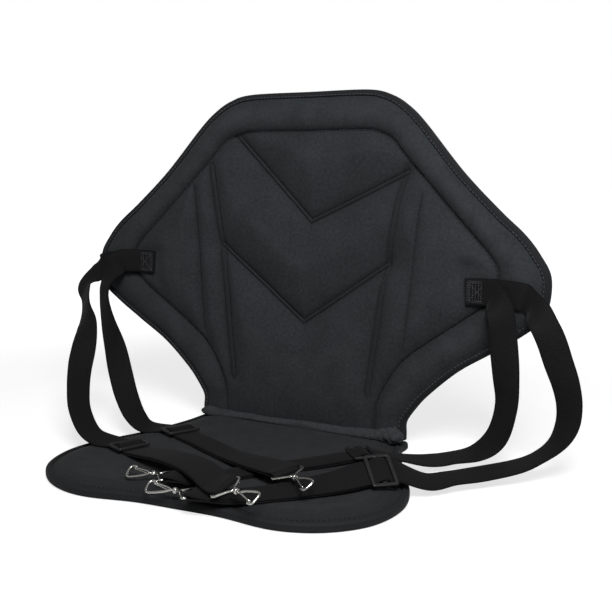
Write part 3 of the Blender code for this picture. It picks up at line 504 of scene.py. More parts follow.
def woven_cloth() -> bpy.types.NodeTree:
    """Group of a plain weave: two sets of threads over and under, with slubs, grain and slow mottling."""
    tree, sheet, given, out = node_group(
        "woven_cloth",
        (("Position", "Vector", None), ("Pitch", "Float", 0.0008), ("Base", "Color", (0.03, 0.03, 0.03, 1)),
         ("Lift", "Color", (0.06, 0.06, 0.06, 1)), ("Mottle", "Float", 0.5), ("Grain", "Float", 0.8),
         ("Dull", "Float", 0.9), ("Gloss", "Float", 0.7)),
        (("Colour", "Color", None), ("Roughness", "Float", None), ("Height", "Float", None)),
    )
    split = sheet.add("ShaderNodeSeparateXYZ")
    sheet.join(given["Position"], split.inputs[0])
    rate = sheet.math("DIVIDE", 2 * math.pi, given["Pitch"])
    warp = sheet.math("SINE", sheet.math("MULTIPLY", split.outputs[0], rate))
    weft = sheet.math("SINE", sheet.math("MULTIPLY", split.outputs[1], rate))
    thread = sheet.math("MULTIPLY_ADD", sheet.math("MULTIPLY", warp, weft), 0.5, 0.5)
    slub = sheet.noise(given["Position"], 620.0, 2.0)
    height = sheet.math("ADD", sheet.math("MULTIPLY", thread, 0.65), sheet.math("MULTIPLY", slub, 0.35))
    cloud = sheet.math("SUBTRACT", sheet.noise(given["Position"], 28.0), 0.5)
    grain = sheet.math("SUBTRACT", sheet.noise(given["Position"], 310.0, 2.0), 0.5)
    uneven = sheet.math("MULTIPLY_ADD", grain, given["Grain"], sheet.math("MULTIPLY", cloud, given["Mottle"]))
    tone = sheet.math("MULTIPLY_ADD", height, 0.85, uneven)
    sheet.join(sheet.mixed(tone, given["Base"], given["Lift"]), out["Colour"])
    sheet.join(sheet.ranged(height, given["Dull"], given["Gloss"]), out["Roughness"])
    sheet.join(height, out["Height"])
    return tree


def webbing_ribs() -> bpy.types.NodeTree:
    """Group of flat webbing: crosswise ribs that step between the warp columns, and plain selvedges."""
    tree, sheet, given, out = node_group(
        "webbing_ribs",
        (("Position", "Vector", None), ("Rib", "Float", 0.0016), ("Column", "Float", 0.0021),
         ("Half Width", "Float", 0.0125), ("Base", "Color", (0.01, 0.01, 0.01, 1)),
         ("Lift", "Color", (0.03, 0.03, 0.03, 1))),
        (("Colour", "Color", None), ("Roughness", "Float", None), ("Height", "Float", None)),
    )
    split = sheet.add("ShaderNodeSeparateXYZ")
    sheet.join(given["Position"], split.inputs[0])
    across, along = split.outputs[0], split.outputs[1]
    pace = sheet.math("DIVIDE", math.pi, given["Column"])
    column = sheet.math("SINE", sheet.math("MULTIPLY", across, pace))
    step = sheet.math("MULTIPLY", sheet.math("SIGN", column), math.pi / 3)
    phase = sheet.math("MULTIPLY_ADD", along, sheet.math("DIVIDE", 2 * math.pi, given["Rib"]), step)
    rib = sheet.math("MULTIPLY_ADD", sheet.math("SINE", phase), 0.5, 0.5)
    rounded = sheet.math("MULTIPLY", rib, sheet.math("POWER", sheet.math("ABSOLUTE", column), 0.35))
    selvedge = sheet.math("SUBTRACT", given["Half Width"], 0.0012)
    rim = sheet.math("GREATER_THAN", sheet.math("ABSOLUTE", across), selvedge)
    height = sheet.math("MULTIPLY", rounded, sheet.math("SUBTRACT", 1.0, sheet.math("MULTIPLY", rim, 0.6)))
    fuzz = sheet.noise(given["Position"], 900.0, 2.0)
    tone = sheet.math("ADD", sheet.math("MULTIPLY", height, 0.75), sheet.math("MULTIPLY", fuzz, 0.3))
    sheet.join(sheet.mixed(tone, given["Base"], given["Lift"]), out["Colour"])
    sheet.join(sheet.ranged(tone, 0.88, 0.58), out["Roughness"])
    sheet.join(sheet.math("MULTIPLY_ADD", fuzz, 0.2, height), out["Height"])
    return tree


def dust_and_painted_light() -> bpy.types.NodeTree:
    """Group of dust and painted shade kept in creases, and a paler rub with painted highlight on crowns,
    broken up by noise.
    """
    tree, sheet, given, out = node_group(
        "dust_and_painted_light",
        (("Position", "Vector", None), ("Crease", "Float", 0.0), ("Crown", "Float", 0.0),
         ("Colour", "Color", (0.03, 0.03, 0.03, 1)), ("Dust", "Color", (0.02, 0.02, 0.02, 1)),
         ("Rub", "Color", (0.08, 0.08, 0.08, 1)), ("Amount", "Float", 0.5)),
        (("Colour", "Color", None), ("Mask", "Float", None)),
    )
    patch = sheet.noise(given["Position"], 55.0, 5.0)
    # Dust and painted shade darken the creases; a paler rub, partly painted highlight, lightens the crowns.
    crease = sheet.math("MULTIPLY", given["Crease"], sheet.ranged(patch, 0.55, 1.0))
    dusted_and_shaded = sheet.mixed(sheet.math("MULTIPLY", crease, given["Amount"]), given["Colour"], given["Dust"])
    crown = sheet.math("MULTIPLY", given["Crown"], sheet.ranged(patch, -0.3, 1.1))
    rub_and_highlight = sheet.math("MULTIPLY", sheet.math("MAXIMUM", crown, 0.0), given["Amount"])
    sheet.join(sheet.mixed(rub_and_highlight, dusted_and_shaded, given["Rub"]), out["Colour"])
    sheet.join(rub_and_highlight, out["Mask"])
    return tree


def moulded_grain() -> bpy.types.NodeTree:
    """Group of a fine pebbled skin with slow gloss changes, for moulded plastic and plated wire."""
    tree, sheet, given, out = node_group(
        "moulded_grain",
        (("Position", "Vector", None), ("Base", "Color", (0.01, 0.01, 0.01, 1)),
         ("Lift", "Color", (0.02, 0.02, 0.02, 1)), ("Dull", "Float", 0.5), ("Gloss", "Float", 0.3),
         ("Streak", "Float", 0.5)),
        (("Colour", "Color", None), ("Roughness", "Float", None), ("Height", "Float", None)),
    )
    pebble = sheet.add("ShaderNodeTexVoronoi")
    sheet.join(given["Position"], pebble.inputs["Vector"])
    pebble.inputs["Scale"].default_value = 1900.0
    cloud = sheet.noise(given["Position"], 160.0, 4.0)
    tone = sheet.math("MULTIPLY", sheet.math("POWER", cloud, 2.0), given["Streak"])
    sheet.join(sheet.mixed(tone, given["Base"], given["Lift"]), out["Colour"])
    sheet.join(sheet.ranged(cloud, given["Gloss"], given["Dull"]), out["Roughness"])
    sheet.join(pebble.outputs["Distance"], out["Height"])
    return tree


class Groups:
    """The shared node groups, each built once."""

    def __init__(self) -> None:
        """Builds every group."""
        self.cloth = woven_cloth()
        self.webbing = webbing_ribs()
        self.wear_and_painted_light = dust_and_painted_light()
        self.grain = moulded_grain()


class Layout(Enum):
    """Where a finish takes its coordinates from."""

    PATTERN = "UV"
    SOLID = "Object"


@dataclass(frozen=True)
class Finish:
    """What every finish has: a name, two colours and the depth of its relief."""

    name: str
    base: Colour
    lift: Colour
    relief: float
    layout: Layout = Layout.PATTERN

    def start(self) -> tuple[bpy.types.Material, Sheet, bpy.types.Node, bpy.types.NodeSocket]:
        """Empty material of this finish.

        Returns:
            The material, its sheet, its Principled shader and the coordinates it uses.
        """
        material = bpy.data.materials.new(self.name)
        material.use_nodes = True
        sheet = Sheet(material.node_tree)
        shader = material.node_tree.nodes["Principled BSDF"]
        place = sheet.add("ShaderNodeTexCoord").outputs[self.layout.value]
        return material, sheet, shader, place

    def group(self, sheet: Sheet, tree: bpy.types.NodeTree, **values: object) -> bpy.types.Node:
        """A node group in the material, with its inputs by name."""
        node = sheet.add("ShaderNodeGroup", node_tree=tree)
        for key, value in values.items():
            sheet.join(value, node.inputs[key.replace("_", " ")])
        return node

    def bump(self, sheet: Sheet, shader: bpy.types.Node, height: object, strength: float = 0.8) -> None:
        """Relief of the surface from a height."""
        node = sheet.add("ShaderNodeBump")
        node.inputs["Strength"].default_value = strength
        node.inputs["Distance"].default_value = self.relief
        sheet.join(height, node.inputs["Height"])
        sheet.join(node.outputs["Normal"], shader.inputs["Normal"])


@dataclass(frozen=True)
class ClothFinish(Finish):
    """Woven polyester of the pads, the lining and the sewing threads."""

    pitch: float = 0.0009
    mottle: float = 0.55
    # Colours of dust with painted shade in creases and of rub with painted highlight on crowns, and how
    # strong both are.
    dust_and_shade: Colour = (0.010, 0.010, 0.011)
    rub_and_highlight: Colour = (0.052, 0.054, 0.059)
    wear_and_painted_light: float = 0.55
    sheen: float = 0.05
    specular: float = 0.12

    def material(self, groups: Groups) -> bpy.types.Material:
        """The material of this cloth."""
        material, sheet, shader, place = self.start()
        cloth = self.group(sheet, groups.cloth, Position=place, Pitch=self.pitch, Base=(*self.base, 1),
                           Lift=(*self.lift, 1), Mottle=self.mottle)
        colour = cloth.outputs["Colour"]
        # Dust and painted shade darken the creases; a paler rub, partly painted highlight, lightens the
        # crowns.
        worn_and_lit = self.group(sheet, groups.wear_and_painted_light, Position=place, Crease=sheet.attribute("crease"),
                          Crown=sheet.attribute("crown"), Colour=colour, Dust=(*self.dust_and_shade, 1),
                          Rub=(*self.rub_and_highlight, 1), Amount=self.wear_and_painted_light)
        sheet.join(worn_and_lit.outputs["Colour"], shader.inputs["Base Color"])
        sheet.join(cloth.outputs["Roughness"], shader.inputs["Roughness"])
        self.bump(sheet, shader, cloth.outputs["Height"])
        shader.inputs["Sheen Weight"].default_value = self.sheen
        shader.inputs["Sheen Roughness"].default_value = 0.45
        shader.inputs["Specular IOR Level"].default_value = self.specular
        return material


@dataclass(frozen=True)
class WebbingFinish(Finish):
    """Ribbed webbing of the straps, and the narrow tape that binds the edges."""

    rib: float = 0.0016
    column: float = 0.0021
    half_width: float = WEB_WIDTH / 2
    sheen: float = 0.03
    specular: float = 0.10

    def material(self, groups: Groups) -> bpy.types.Material:
        """The material of this webbing."""
        material, sheet, shader, place = self.start()
        ribs = self.group(sheet, groups.webbing, Position=place, Rib=self.rib, Column=self.column,
                          Half_Width=self.half_width, Base=(*self.base, 1), Lift=(*self.lift, 1))
        sheet.join(ribs.outputs["Colour"], shader.inputs["Base Color"])
        sheet.join(ribs.outputs["Roughness"], shader.inputs["Roughness"])
        self.bump(sheet, shader, ribs.outputs["Height"])
        shader.inputs["Sheen Weight"].default_value = self.sheen
        shader.inputs["Specular IOR Level"].default_value = self.specular
        return material


@dataclass(frozen=True)
class HardFinish(Finish):
    """Moulded plastic of the sliders, and nickel plate of the hooks."""

    metallic: float = 0.0
    dull: float = 0.5
    gloss: float = 0.3
    streak: float = 0.5

    def material(self, groups: Groups) -> bpy.types.Material:
        """The material of this hard surface."""
        material, sheet, shader, place = self.start()
        skin = self.group(sheet, groups.grain, Position=place, Base=(*self.base, 1), Lift=(*self.lift, 1),
                          Dull=self.dull, Gloss=self.gloss, Streak=self.streak)
        sheet.join(skin.outputs["Colour"], shader.inputs["Base Color"])
        sheet.join(skin.outputs["Roughness"], shader.inputs["Roughness"])
        self.bump(sheet, shader, skin.outputs["Height"], 0.4)
        shader.inputs["Metallic"].default_value = self.metallic
        return material


SHELL = ClothFinish("shell_cloth", (0.0130, 0.0146, 0.0160), (0.0410, 0.0460, 0.0505), 0.00022)
# The seat cloth is the shell cloth made darker: painted shade on the flat seat.
SHADED_SEAT_SHELL = ClothFinish("seat_cloth_painted_shade", (0.0100, 0.0104, 0.0113), (0.0300, 0.0313, 0.0345), 0.00022)
LINING = ClothFinish("lining_cloth", (0.010, 0.010, 0.012), (0.028, 0.029, 0.032), 0.00016, Layout.SOLID,
                     pitch=0.0011)
REAR_LINING = ClothFinish("rear_cloth", (0.015, 0.015, 0.017), (0.042, 0.043, 0.047), 0.00016, pitch=0.0011)
# The crease cloth is the shell cloth made lighter: painted highlight on the lit roll in the fold.
LIT_CREASE = ClothFinish("crease_cloth_painted_highlight", (0.020, 0.021, 0.023), (0.060, 0.063, 0.069), 0.00016, pitch=0.0009)
TAPE = WebbingFinish("binding_tape", (0.0095, 0.0100, 0.0112), (0.0230, 0.0240, 0.0265), 0.00006,
                     rib=0.0009, column=0.0040, half_width=0.02)
WEBBING = WebbingFinish("strap_webbing", (0.0030, 0.0030, 0.0034), (0.0125, 0.0125, 0.0138), 0.00026)
QUILT_THREAD = ClothFinish("quilting_thread", (0.007, 0.007, 0.008), (0.018, 0.018, 0.020), 0.00008,
                           Layout.SOLID, pitch=0.0005)
EDGE_THREAD = ClothFinish("edge_thread", (0.040, 0.041, 0.045), (0.095, 0.096, 0.102), 0.00008,
                          Layout.SOLID, pitch=0.0005)
PLASTIC = HardFinish("slider_plastic_black", (0.010, 0.010, 0.011), (0.022, 0.022, 0.024), 0.00005,
                     Layout.SOLID, dull=0.48, gloss=0.30)
NICKEL = HardFinish("hook_nickel", (0.72, 0.71, 0.68), (0.42, 0.40, 0.36), 0.00001,
                    Layout.SOLID, metallic=1.0, dull=0.30, gloss=0.14, streak=0.8)


class Wardrobe:
    """Every material of the seat, made once."""

    def __init__(self) -> None:
        """Builds the groups and the materials."""
        groups = Groups()
        self.shell = SHELL.material(groups)
        self.shaded_seat_shell = SHADED_SEAT_SHELL.material(groups)
        self.lining = LINING.material(groups)
        self.rear = REAR_LINING.material(groups)
        self.crease = LIT_CREASE.material(groups)
        self.tape = TAPE.material(groups)
        self.webbing = WEBBING.material(groups)
        self.quilt_thread = QUILT_THREAD.material(groups)
        self.edge_thread = EDGE_THREAD.material(groups)
        self.plastic = PLASTIC.material(groups)
        self.nickel = NICKEL.material(groups)


# Pads


@dataclass(frozen=True)
class SeatShape:
    """Outline and place of the flat seat pad."""

    depth: float = 0.250
    half_neck: float = 0.118
    half_width: float = 0.168
    foam: float = 0.0102
    edge: float = 0.0060
    edge_fade: float = 0.020
    skew: float = math.radians(4.5)
    skew_run: float = 0.060
    rear: float = -0.0015
    neck_run: float = 0.0350
    straight: float = 0.0060

    def outline(self) -> Array:
        """Bound edge from the left end of the fold round to the right end."""
        depth, neck, wide, run = self.depth, self.half_neck, self.half_width, self.neck_run
        half = (
            (0.000, depth - 0.0080), (0.040, depth - 0.0075), (0.085, depth - 0.0010),
            (0.115, depth - 0.0060), (0.141, depth - 0.0210), (wide - 0.008, depth - 0.0450),
            (wide, depth - 0.0800), (wide - 0.006, depth - 0.1150),
            (wide - 0.025, run + (depth - run) * 0.28), (neck + 0.013, run + 0.0300),
            (neck + 0.003, run), (neck, self.straight * 2), (neck, self.straight), (neck, self.rear),
        )
        return mirrored(smooth(half, 8))

    def place(self, u: Array, v: Array, h: Array) -> Array:
        """World points of the seat pattern; a skew behind the fold turns the pad slightly."""
        turn = self.skew * np.clip(v / self.skew_run, 0.0, 1.0)
        x = u * np.cos(turn) + v * np.sin(turn)
        y = self.depth / 2 + u * np.sin(turn) - v * np.cos(turn)
        return np.column_stack((x, y, CLOTH + GAP + h))


@dataclass(frozen=True)
class BackShape:
    """Outline, seams and place of the backrest."""

    height: float = 0.3385
    half_width: float = 0.257
    half_top: float = 0.092
    half_neck: float = 0.118
    wing: float = 0.155
    recline: float = math.radians(3.65)
    curve_low: float = 0.14
    curve_high: float = 0.80
    edge: float = 0.0070
    seam: float = 0.0085
    centre: float = 0.0130
    foot: float = 0.0120
    half_depth: float = 0.125

    def outline(self) -> Array:
        """Bound edge from the left end of the fold over the top to the right end."""
        top, wide, high, neck, wing = self.half_top, self.half_width, self.height, self.half_neck, self.wing
        half = (
            (0.000, high), (top - 0.026, high - 0.0005), (top, high - 0.0065), (top + 0.019, high - 0.0180),
            (top + 0.037, high - 0.0350), (top + 0.077, high - 0.0800), (wide - 0.050, wing + 0.0680),
            (wide - 0.027, wing + 0.0485), (wide - 0.012, wing + 0.0310), (wide - 0.001, wing + 0.0100),
            (wide - 0.005, wing - 0.0220), (wide - 0.021, wing - 0.0380), (wide - 0.054, wing - 0.0600),
            (wide - 0.087, wing - 0.0810), (neck + 0.022, wing - 0.1075), (neck + 0.008, wing - 0.1240),
            (neck, 0.0180), (neck, 0.0070), (neck, 0.0000),
        )
        return mirrored(smooth(half, 8))

    def ring(self) -> Array:
        """Seam between the raised border and the centre, down to the fold on both sides."""
        high, wing = self.height, self.wing
        half = (
            (0.000, high - 0.0375), (0.065, high - 0.0375), (0.086, high - 0.0415), (0.100, high - 0.0495),
            (0.112, high - 0.0630), (0.168, high - 0.1205), (0.198, wing + 0.0330), (0.209, wing + 0.0180),
            (0.210, wing + 0.0020), (0.200, wing - 0.0150), (0.176, wing - 0.0330), (0.144, wing - 0.0550),
            (0.116, wing - 0.0770), (0.099, wing - 0.1020), (0.090, wing - 0.1230), (0.087, 0.0120),
            (0.087, -0.0010),
        )
        return mirrored(smooth(half, 8))

    def place(self, u: Array, v: Array, h: Array) -> Array:
        """World points of the backrest pattern, h in front of its back face."""
        bend = self.curve_low + (self.curve_high - self.curve_low) * v / self.height
        angle = bend * u
        sag = (1.0 - np.cos(angle)) / bend + h * np.cos(angle)
        x = np.sin(angle) / bend - h * np.sin(angle)
        y = self.half_depth + v * math.sin(self.recline) - sag * math.cos(self.recline)
        z = self.foot + v * math.cos(self.recline) + sag * math.sin(self.recline)
        return np.column_stack((x, y, z))


@dataclass(frozen=True)
class Seam:
    """A sewn line in a padded cover: its path, the half width of its flat strip, its depth and its reach."""

    path: Array
    half: float
    depth: float
    reach: float
    groove: float = 0.0006
    groove_run: float = 0.0008
    pucker: float = 0.00022
    pucker_step: float = 0.0083
    pucker_run: float = 0.0055
    dust_and_shade_run: float = 0.0022
    shoulder: float = 0.0011

    def drop(self, points: Array) -> tuple[Array, Array]:
        """How far the seam pulls the cover down.

        Args:
            points: flat points of the pattern.

        Returns:
            The drop at each point, and how near each lies to the seam, 1 on it.
        """
        gap, along = measured(self.path, points)
        outside = np.maximum(gap - self.half, 0.0)
        t = np.clip(outside / self.reach, 0.0, 1.0)
        pull = 0.22 * (1.0 - np.sqrt(1.0 - (1.0 - t) ** 2)) + 0.78 * (1.0 - t) ** 2.3
        strip = 0.0
        if self.half > 0:
            strip = 0.10 * np.cos(np.clip(gap / self.half, 0.0, 1.0) * math.pi / 2)
        waves = np.sin(along * 2 * math.pi / self.pucker_step + 1.7 * np.sin(along * 41.0))
        pucker = self.pucker * waves * np.exp(-outside / self.pucker_run)
        groove = self.groove * np.exp(-((gap - self.half) / self.groove_run) ** 2)
        # near marks where dust and painted shade gather along the seam, strongest on it.
        near = np.exp(-outside / self.dust_and_shade_run)
        return self.depth * (pull - strip) + groove + pucker * (gap > self.half * 0.5), near

    def guides(self) -> list[Array]:
        """Lines that the mesh keeps: the strip's edges and a shoulder on both sides."""
        shoulders = [self.half - 0.0009, self.half, self.half + self.shoulder]
        if self.half == 0.0:
            shoulders = [self.shoulder]
        lines = [cornered(self.path, LINE_STEP)]
        for shift in shoulders:
            lines += [cornered(offset(self.path, side * shift), LINE_STEP) for side in (1, -1)]
        return lines


def power_sum(drops: Sequence[Array], power: float = 4.0) -> Array:
    """Joint drop of several seams, close to the deepest of them."""
    return sum(np.maximum(d, 0.0) ** power for d in drops) ** (1.0 / power)


@dataclass
class PadCover:
    """Closed cover of a pad between its back face and a relief."""

    name: str
    outline: Array
    lines: list[Array]
    place: Place
    relief: Callable[[Array], tuple[Array, Array, Array]]
    bottom: float = 0.0
    spacing: float = 0.0028
    back_spacing: float = 0.009

    def build(self) -> bpy.types.Object:
        """Meshes the front, the back and the rim into one closed form.

        Returns:
            The cover.
        """
        front, front_faces, front_rim = triangulated(self.outline, self.lines, self.spacing)
        back, back_faces, back_rim = triangulated(self.outline, [], self.back_spacing)
        height, crease, crown = self.relief(front)
        top = self.place(front[:, 0], front[:, 1], height)
        low = self.place(back[:, 0], back[:, 1], np.full(len(back), self.bottom))
        first = len(front)
        faces = [list(f) for f in front_faces] + [[first + i for i in reversed(f)] for f in back_faces]
        count = len(front_rim)
        for i in range(count):
            j = (i + 1) % count
            faces.append([front_rim[j], front_rim[i], first + back_rim[i], first + back_rim[j]])
        nothing = np.zeros(len(back))
        return make_mesh(self.name, np.vstack((top, low)), faces, np.vstack((front, back)),
                         crease=np.concatenate((crease, nothing)), crown=np.concatenate((crown, nothing)))


def bound_outline(path: Array, step: float = LINE_STEP) -> Array:
    """Closed outline of a pad from its bound edge, with points along the fold."""
    edge = resampled(path, step)
    fold = resampled(np.vstack((edge[-1], edge[0])), step)
    return np.vstack((edge, fold[1:-1]))


def trimmed_inset(path: Array, inset: float, floor: float, step: float = LINE_STEP) -> Array:
    """An edge path moved in past its binding, without the points that would cross it or the fold."""
    moved = resampled(offset(path, inset), step)
    keep = (measured(path, moved)[0] > inset * 0.98) & (moved[:, 1] > floor)
    return moved[keep]


# Sewing


def level_at(height: float) -> Callable[[Array], Array]:
    """Height function of a flat face."""

    def face(flat: Array) -> Array:
        """The same height at every point."""
        return np.full(len(flat), height)

    return face


@dataclass(frozen=True)
class Stitch:
    """Size of one stitch and the step between two."""

    length: float = 0.0031
    pitch: float = 0.0041
    radius: float = 0.00045
    sides: int = 5

    def rows(self, paths: Sequence[Array], place: Place,
             height: Callable[[Array], Array]) -> tuple[Array, list]:
        """Threads along flat paths that lie on a surface.

        Args:
            paths: flat paths of the pattern.
            place: turns pattern points into world points.
            height: height of the surface at pattern points.

        Returns:
            Points and faces of every stitch.
        """
        flats, ways = [], []
        shares = np.array((0.0, 0.22, 0.78, 1.0))
        for path in paths:
            lengths = arc_lengths(path)
            starts = np.arange(self.pitch * 0.3, lengths[-1] - self.length, self.pitch)
            spots = (starts[:, None] + shares[None, :] * self.length).ravel()
            flats.append(np.column_stack([np.interp(spots, lengths, path[:, k]) for k in (0, 1)]))
        flat = np.vstack(flats)
        stitches = len(flat) // len(shares)
        lift = np.tile((-0.5, 0.55, 0.55, -0.5), stitches) * self.radius
        size = np.tile((0.45, 1.0, 1.0, 0.45), stitches) * self.radius
        level = height(flat)
        centre = place(flat[:, 0], flat[:, 1], level + lift)
        up = place(flat[:, 0], flat[:, 1], level + lift + 0.001) - centre
        up /= np.linalg.norm(up, axis=1)[:, None]
        grouped = centre.reshape(stitches, len(shares), 3)
        way = np.repeat(grouped[:, -1] - grouped[:, 0], len(shares), axis=0)
        way /= np.maximum(np.linalg.norm(way, axis=1), 1e-9)[:, None]
        side = np.cross(way, up)
        side /= np.maximum(np.linalg.norm(side, axis=1), 1e-9)[:, None]
        rings = []
        for k in range(self.sides):
            turn = 2 * math.pi * k / self.sides
            rings.append(centre + size[:, None] * (side * math.cos(turn) + up * math.sin(turn)))
        points = np.stack(rings, axis=1).reshape(-1, 3)
        pattern = joined_rings(len(shares), self.sides)
        each = len(shares) * self.sides
        faces = [[i + k * each for i in face] for k in range(stitches) for face in pattern]
        return points, faces


def sewn(name: str, batches: Sequence[tuple[Array, list]], thread: bpy.types.Material) -> bpy.types.Object:
    """One piece from several batches of stitches."""
    points, faces, first = [], [], 0
    for batch, pattern in batches:
        points.append(batch)
        faces += [[i + first for i in face] for face in pattern]
        first += len(batch)
    obj = make_mesh(name, np.vstack(points), faces, sharp=80.0)
    return dressed(obj, thread)


@dataclass
class Binding:
    """Folded tape round a pad's edge."""

    name: str
    path: Array
    place: Place
    edge: float
    round: float = 0.0034
    step: float = 0.0035

    def profile(self) -> Array:
        """Closed section of the tape: distance inwards and height."""
        out = GAP + CLOTH
        top, low = self.edge + out, -out
        centre = -out + self.round
        arc = np.radians(np.linspace(90, 180, 6))
        rise = top - self.round + self.round * np.sin(arc)
        upper = np.column_stack((centre + self.round * np.cos(arc), rise))
        lower = np.column_stack((upper[::-1, 0], low + top - upper[::-1, 1]))
        lap = BINDING_LAP
        head = np.array(((lap, top - 0.0003), (lap - 0.0003, top), (lap * 0.55, top + 0.00012)))
        tail = np.array(((lap * 0.55, low), (lap - 0.0003, low), (lap, low + 0.0003)))
        inner = np.array(((lap, -GAP), (-GAP, -GAP), (-GAP, self.edge + GAP), (lap, self.edge + GAP)))
        return np.vstack((head, upper, lower, tail, inner))

    def build(self) -> bpy.types.Object:
        """Sweeps the tape along the edge, with a slight ripple along its face.

        Returns:
            The tape.
        """
        section = self.profile()
        path = resampled(self.path, self.step)
        lengths = arc_lengths(path)
        around = arc_lengths(section)
        unit = offset(path, 1.0) - path
        unit /= np.linalg.norm(unit, axis=1)[:, None]
        rings, uv = [], []
        for point, normal, length in zip(path, unit, lengths):
            turn = length * 2 * math.pi
            wave = 0.00010 * math.sin(turn / 0.0123) + 0.00008 * math.sin(turn / 0.047)
            flat = point + section[:, :1] * normal
            height = section[:, 1] + wave * (section[:, 1] > self.edge * 0.9) * (section[:, 0] > 0.001)
            rings.append(self.place(flat[:, 0], flat[:, 1], height))
            uv.append(np.column_stack((around, np.full(len(section), length))))
        faces = joined_rings(len(path), len(section))
        return make_mesh(self.name, np.vstack(rings), faces, np.vstack(uv), sharp=42.0)


# Sub-assemblies


@dataclass
class SeatPad:
    """Padded seat with its binding, stitching and flat underside."""

    shape: SeatShape = field(default_factory=SeatShape)
    wrinkle: float = 0.00022
    crease_depth: float = 0.0004
    crease_half: float = 0.0016
    pucker: float = 0.00016
    pucker_step: float = 0.0092
    pucker_run: float = 0.005
    spacing: float = 0.0034
    fill: float = 0.5

    def creases(self) -> list[Array]:
        """Pressed lines in the cloth near the front right corner and the middle of the front."""
        routes = (
            ((0.150, 0.160), (0.128, 0.196), (0.096, 0.220), (0.060, 0.229)),
            ((0.158, 0.178), (0.140, 0.208), (0.112, 0.228)),
            ((-0.020, 0.232), (-0.060, 0.226), (-0.104, 0.222)),
        )
        return [smooth(route, 6) for route in routes]

    def relief(self, points: Array) -> tuple[Array, Array, Array]:
        """Height, crease and crown of the seat's top.

        Args:
            points: flat points of the pattern.

        Returns:
            Three values per point.
        """
        shape = self.shape
        path = shape.outline()
        gap, along = measured(path, points)
        inside = gap - BINDING_LAP - GAP
        rise = np.clip(inside / shape.edge_fade, 0.0, 1.0)
        height = shape.edge + (shape.foam - shape.edge) * (1.0 - (1.0 - rise) ** 2)
        free = soft_step(points[:, 1], 0.016, 0.040)
        height += self.wrinkle * ripple(points, UNEVEN) * rise * free
        waves = np.sin(along * 2 * math.pi / self.pucker_step + np.sin(along * 37.0))
        pucker = self.pucker * waves * np.exp(-np.maximum(inside, 0.0) / self.pucker_run)
        height += pucker * (inside > 0.0005) * free
        for line in self.creases():
            near = measured(line, points)[0]
            bank = 0.4 * self.crease_depth * np.exp(-((near - 0.004) / 0.0025) ** 2)
            height -= self.crease_depth * np.exp(-(near / self.crease_half) ** 2) - bank
        # Dust and painted shade along the binding where the edge rolls down, and a paler top that is partly
        # rub and partly painted highlight.
        crease = np.exp(-np.maximum(inside, 0.0) / 0.0025)
        return height, crease, soft_step(rise, 0.55, 1.0) * 0.5

    def build(self, wardrobe: Wardrobe, nodes: dict) -> None:
        """Makes the cover, the tape and their stitches, and dresses the underside."""
        shape = self.shape
        path = shape.outline()
        lines = [trimmed_inset(path, BINDING_LAP + inset, 0.002) for inset in (GAP, 0.004)]
        lines += [cornered(line, LINE_STEP) for line in self.creases()]
        edge = bound_outline(path)
        pad = PadCover("seat_cover", edge, lines, shape.place, self.relief, spacing=self.spacing)
        cover = dressed(pad.build(), wardrobe.shaded_seat_shell)
        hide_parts("seat_pad")
        tape = Binding("seat_binding_tape", path, shape.place, shape.edge).build()
        dressed(tape, wardrobe.tape)
        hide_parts("seat_binding")
        top = shape.edge + GAP + CLOTH
        row = offset(path, BINDING_LAP - STITCH_INSET)
        stitch = Stitch()
        batches = [stitch.rows([row], shape.place, level_at(top))]
        sewn("seat_stitching", batches, wardrobe.quilt_thread)
        nodes["seat_underside"].material_slots[0].material = wardrobe.lining
        log.info("seat pad: cover, binding tape, %d stitches", len(batches[0][0]) // (4 * stitch.sides))


